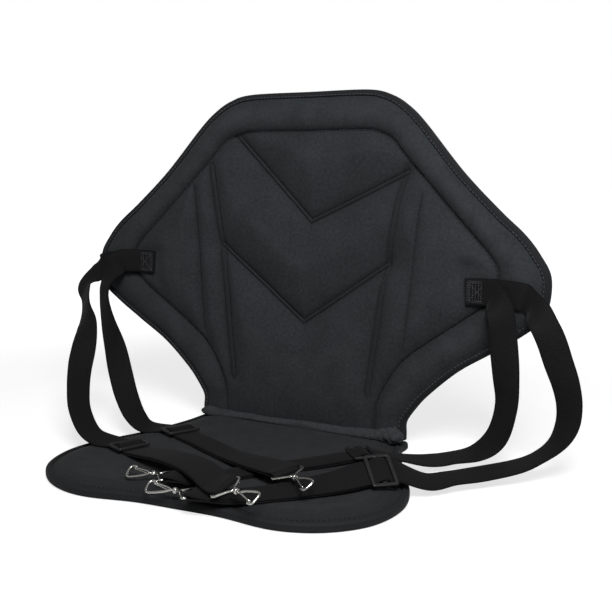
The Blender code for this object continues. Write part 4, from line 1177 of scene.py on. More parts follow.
@dataclass
class Backrest:
    """Quilted backrest with its raised border, seams, rear cloth and binding."""

    shape: BackShape = field(default_factory=BackShape)
    border_rise: float = 0.0065
    border_round: float = 0.62
    crown: float = 0.0185
    ring_reach: float = 0.036
    fold_depth: float = 0.0085
    fold_reach: float = 0.060
    press_top: float = 0.0127
    press_place: tuple[float, float] = (0.192, 0.154)
    press_half: tuple[float, float] = (0.014, 0.017)
    press_run: float = 0.014
    undulation: float = 0.00035
    border_wrinkle: float = 0.0003
    pucker: float = 0.00025
    pucker_step: float = 0.0089
    pucker_run: float = 0.006
    fill: float = 0.7

    def seams(self) -> dict[str, Seam]:
        """Sewn lines of the centre, by name."""
        chevron_high = np.array(((-0.0820, 0.2960), (0.0070, 0.2100), (0.1140, 0.2595)))
        chevron_low = np.array(((-0.0990, 0.1830), (0.0015, 0.1070), (0.0960, 0.1710)))
        column = smooth((
            (0.1135, 0.2650), (0.1010, 0.1960), (0.0930, 0.1450), (0.0860, 0.0880), (0.0800, 0.0420),
        ), 5)
        side = smooth(((0.1340, 0.2420), (0.1285, 0.2000), (0.1235, 0.1450), (0.1175, 0.0880)), 5)
        flip = np.array((-1.0, 1.0))
        return {
            "chevron_high": Seam(chevron_high, 0.0020, 0.0138, 0.056),
            "chevron_low": Seam(chevron_low, 0.0020, 0.0138, 0.056),
            "column_right": Seam(column, 0.0030, 0.0044, 0.028),
            "column_left": Seam(column * flip, 0.0032, 0.0100, 0.026),
            "side_right": Seam(side, 0.0, 0.0028, 0.022),
            "side_left": Seam(side * flip, 0.0, 0.0095, 0.022),
        }

    def relief(self, points: Array) -> tuple[Array, Array, Array]:
        """Height, crease and crown of the backrest's front.

        Args:
            points: flat points of the pattern.

        Returns:
            Three values per point.
        """
        shape = self.shape
        ring = shape.ring()
        inside = is_inside(ring, points)
        gap, along = measured(ring, points)
        drops, nears = [], []
        ring_seam = Seam(ring, 0.0, self.crown - shape.seam, self.ring_reach)
        for seam in (ring_seam, *self.seams().values()):
            drop, near = seam.drop(points)
            drops.append(drop)
            nears.append(near)
        fold = np.clip(points[:, 1] / self.fold_reach, 0.0, 1.0)
        drops.append(self.fold_depth * (1.0 - np.sqrt(1.0 - (1.0 - fold) ** 2)))
        centre = self.crown - power_sum(drops)
        free = soft_step(gap, 0.006, 0.03) * soft_step(points[:, 1], 0.01, 0.04)
        centre += self.undulation * ripple(points, UNEVEN) * free
        edge = np.maximum(measured(shape.outline(), points)[0] - BINDING_LAP - GAP, 0.0)
        across = edge / np.maximum(edge + gap, 1e-9)
        rise = self.border_rise * np.minimum(1.0, 0.2 + np.maximum(points[:, 1], 0.0) / 0.040)
        tube = np.sin(np.clip(math.pi * across, 0.0, math.pi)) ** self.border_round
        border = shape.edge + (shape.seam - shape.edge) * across + rise * tube
        waves = np.sin(along * 2 * math.pi / self.pucker_step + 1.3 * np.sin(along * 29.0))
        pucker = self.pucker * waves * np.exp(-gap / self.pucker_run)
        border += pucker * (edge > 0.001) + self.border_wrinkle * ripple(points[:, ::-1], UNEVEN) * tube
        height = np.where(inside, centre, border)
        for side in Side:
            spot = np.array((side.value * self.press_place[0], self.press_place[1]))
            reach = np.abs(points - spot) - np.array(self.press_half)
            out = np.linalg.norm(np.maximum(reach, 0.0), axis=1)
            pressed = soft_step(out, self.press_run, 0.0)
            height = np.where(inside, height - np.maximum(height - self.press_top, 0.0) * pressed, height)
        # Dust and painted shade along the seams and the ring; paler crowns of the pillows and the border,
        # partly rub and partly painted highlight.
        crease = np.maximum.reduce(nears) * inside + np.exp(-gap / 0.0022) * ~inside
        crown_rub_and_highlight = soft_step(centre, self.crown - 0.002, self.crown) * 0.5
        crown = np.where(inside, crown_rub_and_highlight, tube ** 3 * 0.9)
        return height, np.clip(crease, 0.0, 1.0), crown

    def front_height(self, points: Array) -> Array:
        """Height of the front alone, for what is sewn on it."""
        return self.relief(points)[0]

    def build(self, wardrobe: Wardrobe) -> None:
        """Makes the front and rear covers, the tape and every row of stitches."""
        shape = self.shape
        path = shape.outline()
        ring = shape.ring()
        floor = 0.0025
        lines = [trimmed_inset(path, BINDING_LAP + GAP, 0.002)]
        above = ring[ring[:, 1] > floor]
        lines.append(resampled(above, LINE_STEP))
        for shift in (0.0011, -0.0011):
            moved = offset(ring, shift)
            lines.append(resampled(moved[moved[:, 1] > floor], LINE_STEP))
        for seam in self.seams().values():
            lines += seam.guides()
        pad = PadCover("backrest_cover", bound_outline(path), lines, shape.place, self.relief)
        cover = dressed(pad.build(), wardrobe.shell)
        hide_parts("backrest_pad")
        self.build_rear(wardrobe)
        tape = Binding("backrest_binding_tape", path, shape.place, shape.edge).build()
        dressed(tape, wardrobe.tape)
        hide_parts("backrest_binding")
        self.sew(wardrobe)

    def build_rear(self, wardrobe: Wardrobe) -> None:
        """Lining behind the pad, lightly quilted where the seams come through."""
        shape = self.shape
        path = shape.outline()
        inner = trimmed_inset(path, BINDING_LAP + GAP, -1.0)
        fold = resampled(np.vstack((inner[-1], inner[0])), LINE_STEP)
        outline = np.vstack((inner, fold[1:-1]))
        ring = shape.ring()
        seams = self.seams()

        def rear_relief(points: Array) -> tuple[Array, Array, Array]:
            """Depth of the lining's outer face, with dimples along the seams."""
            dimple = 0.0007 * np.exp(-measured(ring, points)[0] / 0.004)
            for seam in seams.values():
                dimple = np.maximum(dimple, 0.0006 * np.exp(-measured(seam.path, points)[0] / 0.0035))
            face = -GAP - CLOTH - 0.0007 * ripple(points, UNEVEN) ** 2 + dimple
            face = np.minimum(face, -GAP - 0.0003)
            # The second value puts dust and painted shade in the seam dimples.
            return face, dimple / 0.0007, np.zeros(len(points))

        lines = [resampled(ring[ring[:, 1] > 0.003], 0.004)]
        lines += [cornered(seam.path, 0.004) for seam in seams.values()]
        pad = PadCover("backrest_rear_cloth", outline, lines, shape.place, rear_relief, -GAP, 0.0045)
        cover = dressed(pad.build(), wardrobe.rear)
        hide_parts("backrest_rear_panel")

    def sew(self, wardrobe: Wardrobe) -> None:
        """Rows of stitches along the ring, the quilting and the tape."""
        shape = self.shape
        stitch = Stitch()
        ring = shape.ring()
        rows = [offset(ring[ring[:, 1] > 0.004], 0.0012)]
        for name, seam in self.seams().items():
            if seam.half == 0.0:
                rows.append(seam.path)
            else:
                rows += [offset(seam.path, seam.half * 0.92), offset(seam.path, -seam.half * 0.92)]
        quilting = stitch.rows([cornered(row, 0.002) for row in rows], shape.place, self.front_height)
        sewn("backrest_quilt_stitching", [quilting], wardrobe.quilt_thread)
        path = shape.outline()
        top = shape.edge + GAP + CLOTH
        lap = offset(path, BINDING_LAP - STITCH_INSET)
        batches = [stitch.rows([lap], shape.place, level_at(top))]

        def behind(u: Array, v: Array, h: Array) -> Array:
            """World points of the pattern, h behind the back face."""
            return shape.place(u, v, -h)

        batches.append(stitch.rows([lap], behind, level_at(GAP + CLOTH)))
        sewn("backrest_edge_stitching", batches, wardrobe.edge_thread)
        log.info("backrest: covers, binding tape, %d rows of quilting stitches", len(rows))


@dataclass
class Fold:
    """Cloth hinge behind the seat and the bunched cloth that lies in its crease."""

    back: BackShape = field(default_factory=BackShape)
    left_end: float = 0.1165
    right_end: float = 0.1228
    stations: int = 240
    sides: int = 28
    rise: tuple[float, float] = (0.0032, 0.0046)
    depth: tuple[float, float] = (0.0026, 0.0036)
    heap_rise: tuple[float, float] = (0.0018, 0.0034)
    heap_depth: tuple[float, float] = (0.0014, 0.0026)
    heap_run: tuple[float, float] = (0.010, 0.015)
    heap_place: float = 0.010
    end_run: float = 0.012
    lean: float = 0.0032
    rest: float = 0.0112
    bunched: float = 0.036

    def sections(self) -> tuple[Array, Array]:
        """Rings of the bunched cloth from left to right, and its flat coordinates."""
        x = np.linspace(-self.left_end, self.right_end, self.stations)
        share = (x + self.left_end) / (self.left_end + self.right_end)
        rise = self.rise[0] + (self.rise[1] - self.rise[0]) * share
        rise *= 1.0 + 0.06 * np.sin(x * 2 * math.pi / 0.071 + 0.8) + 0.03 * np.sin(x * 2 * math.pi / 0.031)
        deep = self.depth[0] + (self.depth[1] - self.depth[0]) * share
        for end, reach in enumerate((self.left_end + x, self.right_end - x)):
            heap = np.exp(-((reach - self.heap_place) / self.heap_run[end]) ** 2)
            rise += self.heap_rise[end] * heap
            deep += self.heap_depth[end] * heap
        end_gap = np.clip(np.minimum(self.left_end + x, self.right_end - x) / self.end_run, 0.02, 1.0)
        taper = np.sqrt(1.0 - (1.0 - end_gap) ** 2)
        front = self.back.place(np.zeros(1), np.array((0.004,)), np.array((self.back.centre + GAP,)))[0]
        sag = self.back.half_depth - self.back.place(x, np.zeros(len(x)), np.zeros(len(x)))[:, 1]
        y = front[1] - sag - deep + 0.0004 * np.sin(x * 53.0) + 0.0008
        z = self.rest + rise * 0.96
        turns = np.arange(self.sides) * 2 * math.pi / self.sides
        ends = np.exp(-((self.right_end - x) / self.bunched) ** 2)
        ends += 0.5 * np.exp(-((self.left_end + x) / (self.bunched * 0.4)) ** 2)
        rings, uv = [], []
        for k in range(self.stations):
            slant = x[k] * 2 * math.pi
            folds = 0.09 * np.sin(3 * turns + slant / 0.140) + 0.04 * np.sin(5 * turns - slant / 0.090)
            crumple = 0.15 * np.sin(2 * turns + slant / 0.0125) + 0.10 * np.sin(4 * turns - slant / 0.0083)
            folds += ends[k] * crumple
            size = (1.0 + folds) * taper[k]
            back = self.lean * (0.5 + 0.5 * np.sin(turns)) ** 2 * taper[k]
            ring = np.column_stack((np.full(self.sides, x[k]), y[k] + back + deep[k] * size * np.cos(turns),
                                    z[k] + rise[k] * size * np.sin(turns)))
            ring[:, 2] = np.maximum(ring[:, 2], self.rest)
            rings.append(ring)
            uv.append(np.column_stack((turns * rise[k], np.full(self.sides, x[k]))))
        return np.vstack(rings), np.vstack(uv)

    def build(self, wardrobe: Wardrobe, nodes: dict) -> None:
        """Makes the bunched cloth and dresses the gusset."""
        points, uv = self.sections()
        roll = make_mesh("fold_bunched_cloth", points, joined_rings(self.stations, self.sides), uv)
        dressed(roll, wardrobe.crease)
        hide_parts("fold_welt")
        nodes["fold_gusset"].material_slots[0].material = wardrobe.lining
        log.info("fold: bunched cloth and gusset")


def frame_matrix(place: Sequence[float], heading: float, pitch: float, lean: float) -> Matrix:
    """Local axes: X along a heading and pitch in degrees, Y to its left, leaned about X."""
    turn = Matrix.Rotation(math.radians(heading), 4, "Z") @ Matrix.Rotation(math.radians(-pitch), 4, "Y")
    return Matrix.Translation(Vector(place)) @ turn @ Matrix.Rotation(math.radians(lean), 4, "X")


@dataclass(frozen=True)
class Slider:
    """Three-bar slider of moulded plastic."""

    thick: float = 0.0026
    rail: float = 0.0032
    bar: float = 0.0032
    middle: float = 0.0040
    slot: float = 0.0064
    play: float = 0.0010
    bevel: float = 0.0007
    corner: float = 0.0020
    slot_corner: float = 0.0010

    @property
    def half(self) -> float:
        """Half length along the webbing."""
        return self.middle / 2 + self.slot + self.bar

    @property
    def below(self) -> float:
        """Level of webbing that passes under a bar."""
        return -(self.thick / 2 + GAP + WEB_THICK / 2)

    @property
    def near(self) -> float:
        """Where webbing dives beside the middle bar."""
        return self.middle / 2 + 0.0006

    @property
    def far(self) -> float:
        """Where webbing comes up beside an outer bar."""
        return self.middle / 2 + self.slot - 0.0006

    @property
    def leave(self) -> float:
        """Where webbing is free of the slider."""
        return self.half + 0.0030

    def rounded(self, low: tuple[float, float], high: tuple[float, float], radius: float, turn: int) -> Array:
        """Rounded rectangle between two corners, going round one way or the other."""
        rows = []
        corners = ((high[0], high[1]), (low[0], high[1]), (low[0], low[1]), (high[0], low[1]))
        for (cx, cy), start in zip(corners, (0, 90, 180, 270)):
            mx = cx - radius if cx == high[0] else cx + radius
            my = cy - radius if cy == high[1] else cy + radius
            for angle in np.radians(np.linspace(start, start + 90, 6)):
                rows.append((mx + radius * math.cos(angle), my + radius * math.sin(angle)))
        return np.array(rows)[::turn]

    def build(self, name: str, matrix: Matrix) -> bpy.types.Object:
        """Frame with two slots, its edges rounded over.

        Args:
            name: name of the piece.
            matrix: where it lies.

        Returns:
            The slider.
        """
        wide = WEB_WIDTH / 2 + self.play
        inset = self.bevel
        edge_x, edge_y = self.half - inset, wide + self.rail - inset
        loops = [self.rounded((-edge_x, -edge_y), (edge_x, edge_y), self.corner, 1)]
        for sign in (-1, 1):
            ends = sorted((sign * self.middle / 2, sign * (self.middle / 2 + self.slot)))
            low, high = (ends[0] - inset, -wide - inset), (ends[1] + inset, wide + inset)
            loops.append(self.rounded(low, high, self.slot_corner, -1))
        curve = bpy.data.curves.new(name + "_outline", "CURVE")
        curve.dimensions = "2D"
        curve.fill_mode = "BOTH"
        curve.extrude = self.thick / 2 - self.bevel
        curve.bevel_depth = self.bevel
        curve.bevel_resolution = 3
        for loop in loops:
            spline = curve.splines.new("POLY")
            spline.points.add(len(loop) - 1)
            rows = np.column_stack((loop, np.zeros(len(loop)), np.ones(len(loop))))
            spline.points.foreach_set("co", rows.ravel())
            spline.use_cyclic_u = True
        holder = bpy.data.objects.new(name + "_outline", curve)
        bpy.context.scene.collection.objects.link(holder)
        bpy.context.view_layer.update()
        mesh = bpy.data.meshes.new_from_object(holder.evaluated_get(bpy.context.evaluated_depsgraph_get()))
        bpy.data.objects.remove(holder, do_unlink=True)
        mesh.name = name
        mesh.polygons.foreach_set("use_smooth", [True] * len(mesh.polygons))
        mesh.set_sharp_from_angle(angle=math.radians(35))
        obj = bpy.data.objects.new(name, mesh)
        bpy.context.scene.collection.objects.link(obj)
        return placed(obj, matrix)


@dataclass(frozen=True)
class SnapHook:
    """Swivel snap hook of bent wire: eye, collar, hook and hairpin gate."""

    bar: tuple[float, float, float]
    heading: float
    pitch: float
    lean: float
    roll: float
    eye_wire: float = 0.0010
    eye_half: float = 0.0142
    eye_length: float = 0.0120
    eye_apex: float = 0.0022
    eye_corner: float = 0.0018
    collar_radius: float = 0.0027
    collar_length: float = 0.0032
    head_length: float = 0.0008
    head_scale: float = 1.75
    wire: float = 0.0010
    half: float = 0.0059
    length: float = 0.0215
    nose_length: float = 0.0066
    nose_share: float = 0.92
    gate_wire: float = 0.0006
    gate_length: float = 0.0160

    @property
    def start(self) -> float:
        """Where the stem's head begins."""
        return self.eye_length + self.eye_wire + GAP

    @property
    def collar(self) -> float:
        """Where the collar begins."""
        return self.start + self.head_length + GAP

    @property
    def pivot(self) -> float:
        """Where the gate turns on the stem."""
        return self.collar + self.collar_length + 0.0022

    def eye_frame(self) -> Matrix:
        """Axes of the eye, leaned with the webbing."""
        return frame_matrix(self.bar, self.heading, self.pitch, self.lean)

    def hook_frame(self) -> Matrix:
        """Axes of the hook, rolled about its stem."""
        straight = frame_matrix(self.bar, self.heading, self.pitch, 0.0)
        return straight @ Matrix.Rotation(math.radians(self.roll), 4, "X")

    def eye_path(self) -> Array:
        """Centre line of the triangular eye, closed."""
        corner = self.eye_corner
        half, length, apex = self.eye_half, self.eye_length, self.eye_apex
        upper = [(0.0, half - corner), (corner * 0.28, half - corner * 0.32), (corner, half),
                 (corner * 1.8, half - corner * 0.3), (length - corner * 1.1, apex + corner * 0.5),
                 (length - corner * 0.35, apex * 0.85), (length, 0.0)]
        lower = [(x, -y) for x, y in reversed(upper[:-1])]
        loop = [(0.0, 0.0)] + upper + lower
        path = wire_curve(loop[-2:] + loop + loop[:3], 5)
        body = path[10:10 + len(loop) * 5]
        return np.column_stack((body, np.zeros(len(body))))

    def hook_path(self) -> tuple[Array, Array]:
        """Centre line and radii of the stem, spine, tip and nose."""
        half, pivot, start = self.half, self.pivot, self.start
        tip = pivot + self.length
        bend = [(pivot - 0.0012, 0.0), (pivot, 0.0), (pivot + 0.0020, half * 0.18),
                (pivot + 0.0050, half * 0.43), (pivot + 0.0095, half * 0.68), (tip - 0.0075, half * 0.87),
                (tip - 0.0033, half * 0.99), (tip - 0.0014, half * 0.90), (tip - 0.0003, half * 0.62),
                (tip, half * 0.25), (tip, -half * 0.25), (tip - 0.0003, -half * 0.62),
                (tip - 0.0014, -half * 0.90), (tip - 0.0033, -half * 0.99),
                (tip - self.nose_length, -half * self.nose_share)]
        curve = wire_curve(bend, 5)
        head = [(start + self.head_length * share, 0.0) for share in (0.0, 0.25, 0.75, 1.0, 1.2)]
        flat = np.vstack((head, curve))
        size = self.wire
        bulge = size * self.head_scale
        radii = np.concatenate(((bulge * 0.8, bulge, bulge, bulge * 0.85, size), np.full(len(curve), size)))
        radii[-1] *= 0.55
        radii[-2] *= 0.92
        return np.column_stack((flat, np.zeros(len(flat)))), radii

    def gate_path(self) -> Array:
        """Centre line of the hairpin gate, from the pivot."""
        wide = self.wire + GAP + self.gate_wire
        narrow = self.gate_wire * 1.6
        reach = -(self.half * self.nose_share - self.wire - GAP - self.gate_wire)
        long = self.gate_length
        points = [(0.0, 0.0, wide), (long * 0.30, reach * 0.32, wide),
                  (long * 0.85, reach * 0.90, narrow * 1.1), (long, reach, narrow),
                  (long + self.gate_wire * 1.5, reach, 0.0), (long, reach, -narrow),
                  (long * 0.85, reach * 0.90, -narrow * 1.1), (long * 0.30, reach * 0.32, -wide),
                  (0.0, 0.0, -wide)]
        return wire_curve(points, 6)

    def build(self, number: int, wardrobe: Wardrobe) -> None:
        """Makes the four pieces of one hook on their bodies.

        Args:
            number: number of the hook.
            wardrobe: the materials.
        """
        label = "hook_%d" % number
        moving, gating = Body.HOOK.value % number, Body.GATE.value % number
        path = self.eye_path()
        loop = swept_wire(label + "_eye_wire", path, np.full(len(path), self.eye_wire), closed=True)
        eye = dressed(placed(loop, self.eye_frame()), wardrobe.nickel)
        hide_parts(label + "_eye")
        bore, outer, back, long = self.wire + 0.0003, self.collar_radius, self.collar, self.collar_length
        profile = [(back, bore), (back, outer * 0.78), (back + 0.00018, outer * 0.88),
                   (back + long * 0.22, outer * 0.98), (back + long * 0.35, outer),
                   (back + long * 0.65, outer), (back + long * 0.78, outer * 0.98),
                   (back + long - 0.00018, outer * 0.88), (back + long, outer * 0.78), (back + long, bore)]
        collar = placed(turned(label + "_collar", profile), self.eye_frame())
        dressed(collar, wardrobe.nickel)
        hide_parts(label + "_ferrule")
        path, radii = self.hook_path()
        body = placed(swept_wire(label + "_bent_wire", path, radii), self.hook_frame())
        dressed(body, wardrobe.nickel, moving)
        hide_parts(label + "_body")
        path = self.gate_path()
        radii = np.full(len(path), self.gate_wire)
        gate = swept_wire(label + "_hairpin_gate", path, radii, sides=12)
        placed(gate, self.hook_frame() @ Matrix.Translation((self.pivot, 0.0, 0.0)))
        dressed(gate, wardrobe.nickel, gating)
        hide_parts(label + "_gate")


Station = tuple[tuple[float, float, float], tuple[float, float, float]]


@dataclass
class Strap:
    """One webbing strap: sewn start on a wing, free loop, slider, doubled run and hook."""

    name: str
    side: Side
    wing: list[tuple[float, float, float]]
    free: list[Station]
    slider: tuple[tuple[float, float, float], float, float, float]
    run: list[tuple[tuple[float, float, float], float]]
    hook: SnapHook
    back: BackShape = field(default_factory=BackShape)
    buckle: Slider = field(default_factory=Slider)
    lead: float = 0.0090
    parting: float = 0.014
    wrap_steps: int = 12
    box_start: float = 0.0022
    box_end: float = 0.0215
    box_margin: float = 0.0028

    def slider_frame(self) -> Matrix:
        """Axes of the slider."""
        place, heading, pitch, lean = self.slider
        return frame_matrix(place, heading, pitch, lean)

    def start(self) -> list[tuple[Vector, Vector]]:
        """Stations of the sewn start, with the direction across."""
        rows = []
        for u, v, h in self.wing:
            u = np.array((self.side.value * u,) * 2)
            low, high = self.back.place(u, np.array((v, v + 0.01)), np.array((h, h)))
            rows.append((Vector(low), Vector(high - low).normalized()))
        return rows

    def through(self) -> list[tuple[Vector, Vector]]:
        """Webbing through the slider: under the near bar, over the middle, under the far bar."""
        turn, below = self.slider_frame(), self.buckle.below
        near, far, leave = self.buckle.near, self.buckle.far, self.buckle.leave
        levels = (
            (-leave, below), (-far, below), (-near, -below), (near, -below), (far, below), (leave, below),
        )
        across = turn.to_3x3() @ Vector((0.0, 1.0, 0.0))
        return [(turn @ Vector((x, 0.0, z)), across) for x, z in levels]

    def middle(self) -> list[tuple[Vector, Vector]]:
        """Middle surface of the doubled webbing between slider and hook."""
        frame_of = self.slider_frame()
        start = frame_of @ Vector((self.buckle.leave, 0.0, self.buckle.below - LAYER_STEP / 2))
        bar = Vector(self.hook.bar)
        rows = [(start, frame_of.to_3x3() @ Vector((0.0, 1.0, 0.0)))]
        centres = [start] + [Vector(p) for p, _ in self.run] + [bar]
        for index, (place, lean) in enumerate(self.run):
            ahead = (centres[index + 2] - centres[index]).normalized()
            level = Vector((-ahead.y, ahead.x, 0.0)).normalized()
            rise = ahead.cross(level)
            angle = math.radians(lean)
            rows.append((Vector(place), level * math.cos(angle) + rise * math.sin(angle)))
        turn = self.hook.eye_frame().to_3x3()
        along_bar = turn @ Vector((0.0, 1.0, 0.0))
        rows.append((bar - turn @ Vector((self.lead, 0.0, 0.0)), along_bar))
        rows.append((bar, along_bar))
        path = smooth([(*centre, *across) for centre, across in rows], 10)
        return [(Vector(p[:3]), Vector(p[3:]).normalized()) for p in path]

    def stations(self) -> list[tuple[Vector, Vector]]:
        """Every station of the strap from its sewn start to its end under the slider."""
        loop = self.start() + [(Vector(c), Vector(a).normalized()) for c, a in self.free]
        loop = [(centre, across * self.side.value) for centre, across in loop]
        inlet = self.through()
        path = smooth([(*c, *a) for c, a in loop + inlet[:1]], 9)
        rows = [(Vector(p[:3]), Vector(p[3:]).normalized()) for p in path] + inlet[1:-1]
        middle = self.middle()
        wrap_radius = self.hook.eye_wire + GAP + WEB_THICK / 2
        bar = Vector(self.hook.bar)
        upper, lower = [], []
        centres = [c for c, _ in middle]
        for index, (centre, across) in enumerate(middle[:-1]):
            way = (centres[index + 1] - centres[max(index - 1, 0)]).normalized()
            normal = way.cross(across).normalized()
            near = max(0.0, 1.0 - (centre - bar).length / self.parting)
            spread = LAYER_STEP / 2 + (wrap_radius - LAYER_STEP / 2) * near
            upper.append((centre + normal * spread, across))
            lower.append((centre - normal * spread, across))
        across = middle[-1][1]
        way = self.hook.eye_frame().to_3x3() @ Vector((1.0, 0.0, 0.0))
        normal = way.cross(across).normalized()
        wrap = []
        for k in range(self.wrap_steps + 1):
            angle = math.pi / 2 - math.pi * k / self.wrap_steps
            wrap.append((bar + (normal * math.sin(angle) + way * math.cos(angle)) * wrap_radius, across))
        turn = self.slider_frame()
        end = turn.to_3x3() @ Vector((0.0, 1.0, 0.0))
        level, near, far = self.buckle.below, self.buckle.near, self.buckle.far
        levels = ((far, level - LAYER_STEP), (near, level), (-near, level))
        tail = [(turn @ Vector((x, 0.0, z)), end) for x, z in levels]
        return rows + upper + wrap + lower[::-1] + tail

    def section(self) -> Array:
        """Closed section of the webbing with round selvedges: across and through."""
        half, thick = WEB_WIDTH / 2, WEB_THICK / 2
        arc = np.radians((-90, -50, 0, 50, 90))
        right = np.column_stack((half - thick + thick * np.cos(arc), thick * np.sin(arc)))
        top = np.array(((half * 0.45, thick), (0.0, thick), (-half * 0.45, thick)))
        return np.vstack((right, top, -right, -top))

    def build(self, number: int, wardrobe: Wardrobe) -> None:
        """Makes the webbing, its slider, its stitched end and its hook.

        Args:
            number: number of the strap's hook.
            wardrobe: the materials.
        """
        rows = self.stations()
        centres = np.array([tuple(c) for c, _ in rows])
        sides = np.array([tuple(a) for _, a in rows])
        middle_ways = centres[2:] - centres[:-2]
        ways = np.vstack((centres[1:2] - centres[:1], middle_ways, centres[-1:] - centres[-2:-1]))
        ways /= np.linalg.norm(ways, axis=1)[:, None]
        sides -= ways * np.einsum("ij,ij->i", sides, ways)[:, None]
        sides /= np.linalg.norm(sides, axis=1)[:, None]
        normals = np.cross(ways, sides)
        section = self.section()
        points = centres[:, None, :] + section[None, :, :1] * sides[:, None, :]
        points += section[None, :, 1:] * normals[:, None, :]
        lengths = arc_lengths(centres)
        uv = np.stack([np.column_stack((section[:, 0], np.full(len(section), length))) for length in lengths])
        faces = joined_rings(len(rows), len(section))
        mesh = make_mesh("webbing_" + self.name, points.reshape(-1, 3), faces, uv.reshape(-1, 2), sharp=55.0)
        webbing = dressed(mesh, wardrobe.webbing)
        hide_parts("strap_" + self.name)
        slider = self.buckle.build("slider_frame_" + self.name, self.slider_frame())
        dressed(slider, wardrobe.plastic)
        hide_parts("slider_" + self.name)
        self.hook.build(number, wardrobe)
        log.info("strap %s: %d stations, %.0f mm of webbing", self.name, len(rows), lengths[-1] * 1000)

    def box_rows(self) -> tuple[list[Array], float]:
        """Box and cross of stitches on the sewn end.

        Returns:
            The flat rows, and the height that they lie at.
        """
        first, second = self.wing[0], self.wing[1]
        low, high = first[0] + self.box_start, first[0] + self.box_end
        middle, half = (first[1] + second[1]) / 2, WEB_WIDTH / 2 - self.box_margin
        sign = self.side.value
        lower, upper = middle - half, middle + half
        corners = np.array(((low, lower), (high, lower), (high, upper), (low, upper)))
        corners[:, 0] *= sign
        inner = corners.mean(0) + (corners - corners.mean(0)) * 0.86
        rows = [corners[[i, (i + 1) % 4]] for i in range(4)] + [inner[[i, (i + 1) % 4]] for i in range(4)]
        rows += [corners[[0, 2]], corners[[1, 3]]]
        low_run, high_run = corners[1] - corners[0], corners[2] - corners[3]
        for share in (0.14, 0.28, 0.42, 0.58, 0.72, 0.86):
            rows.append(np.array((corners[0] + low_run * share, corners[3] + high_run * share)))
        return rows, first[2] + WEB_THICK / 2


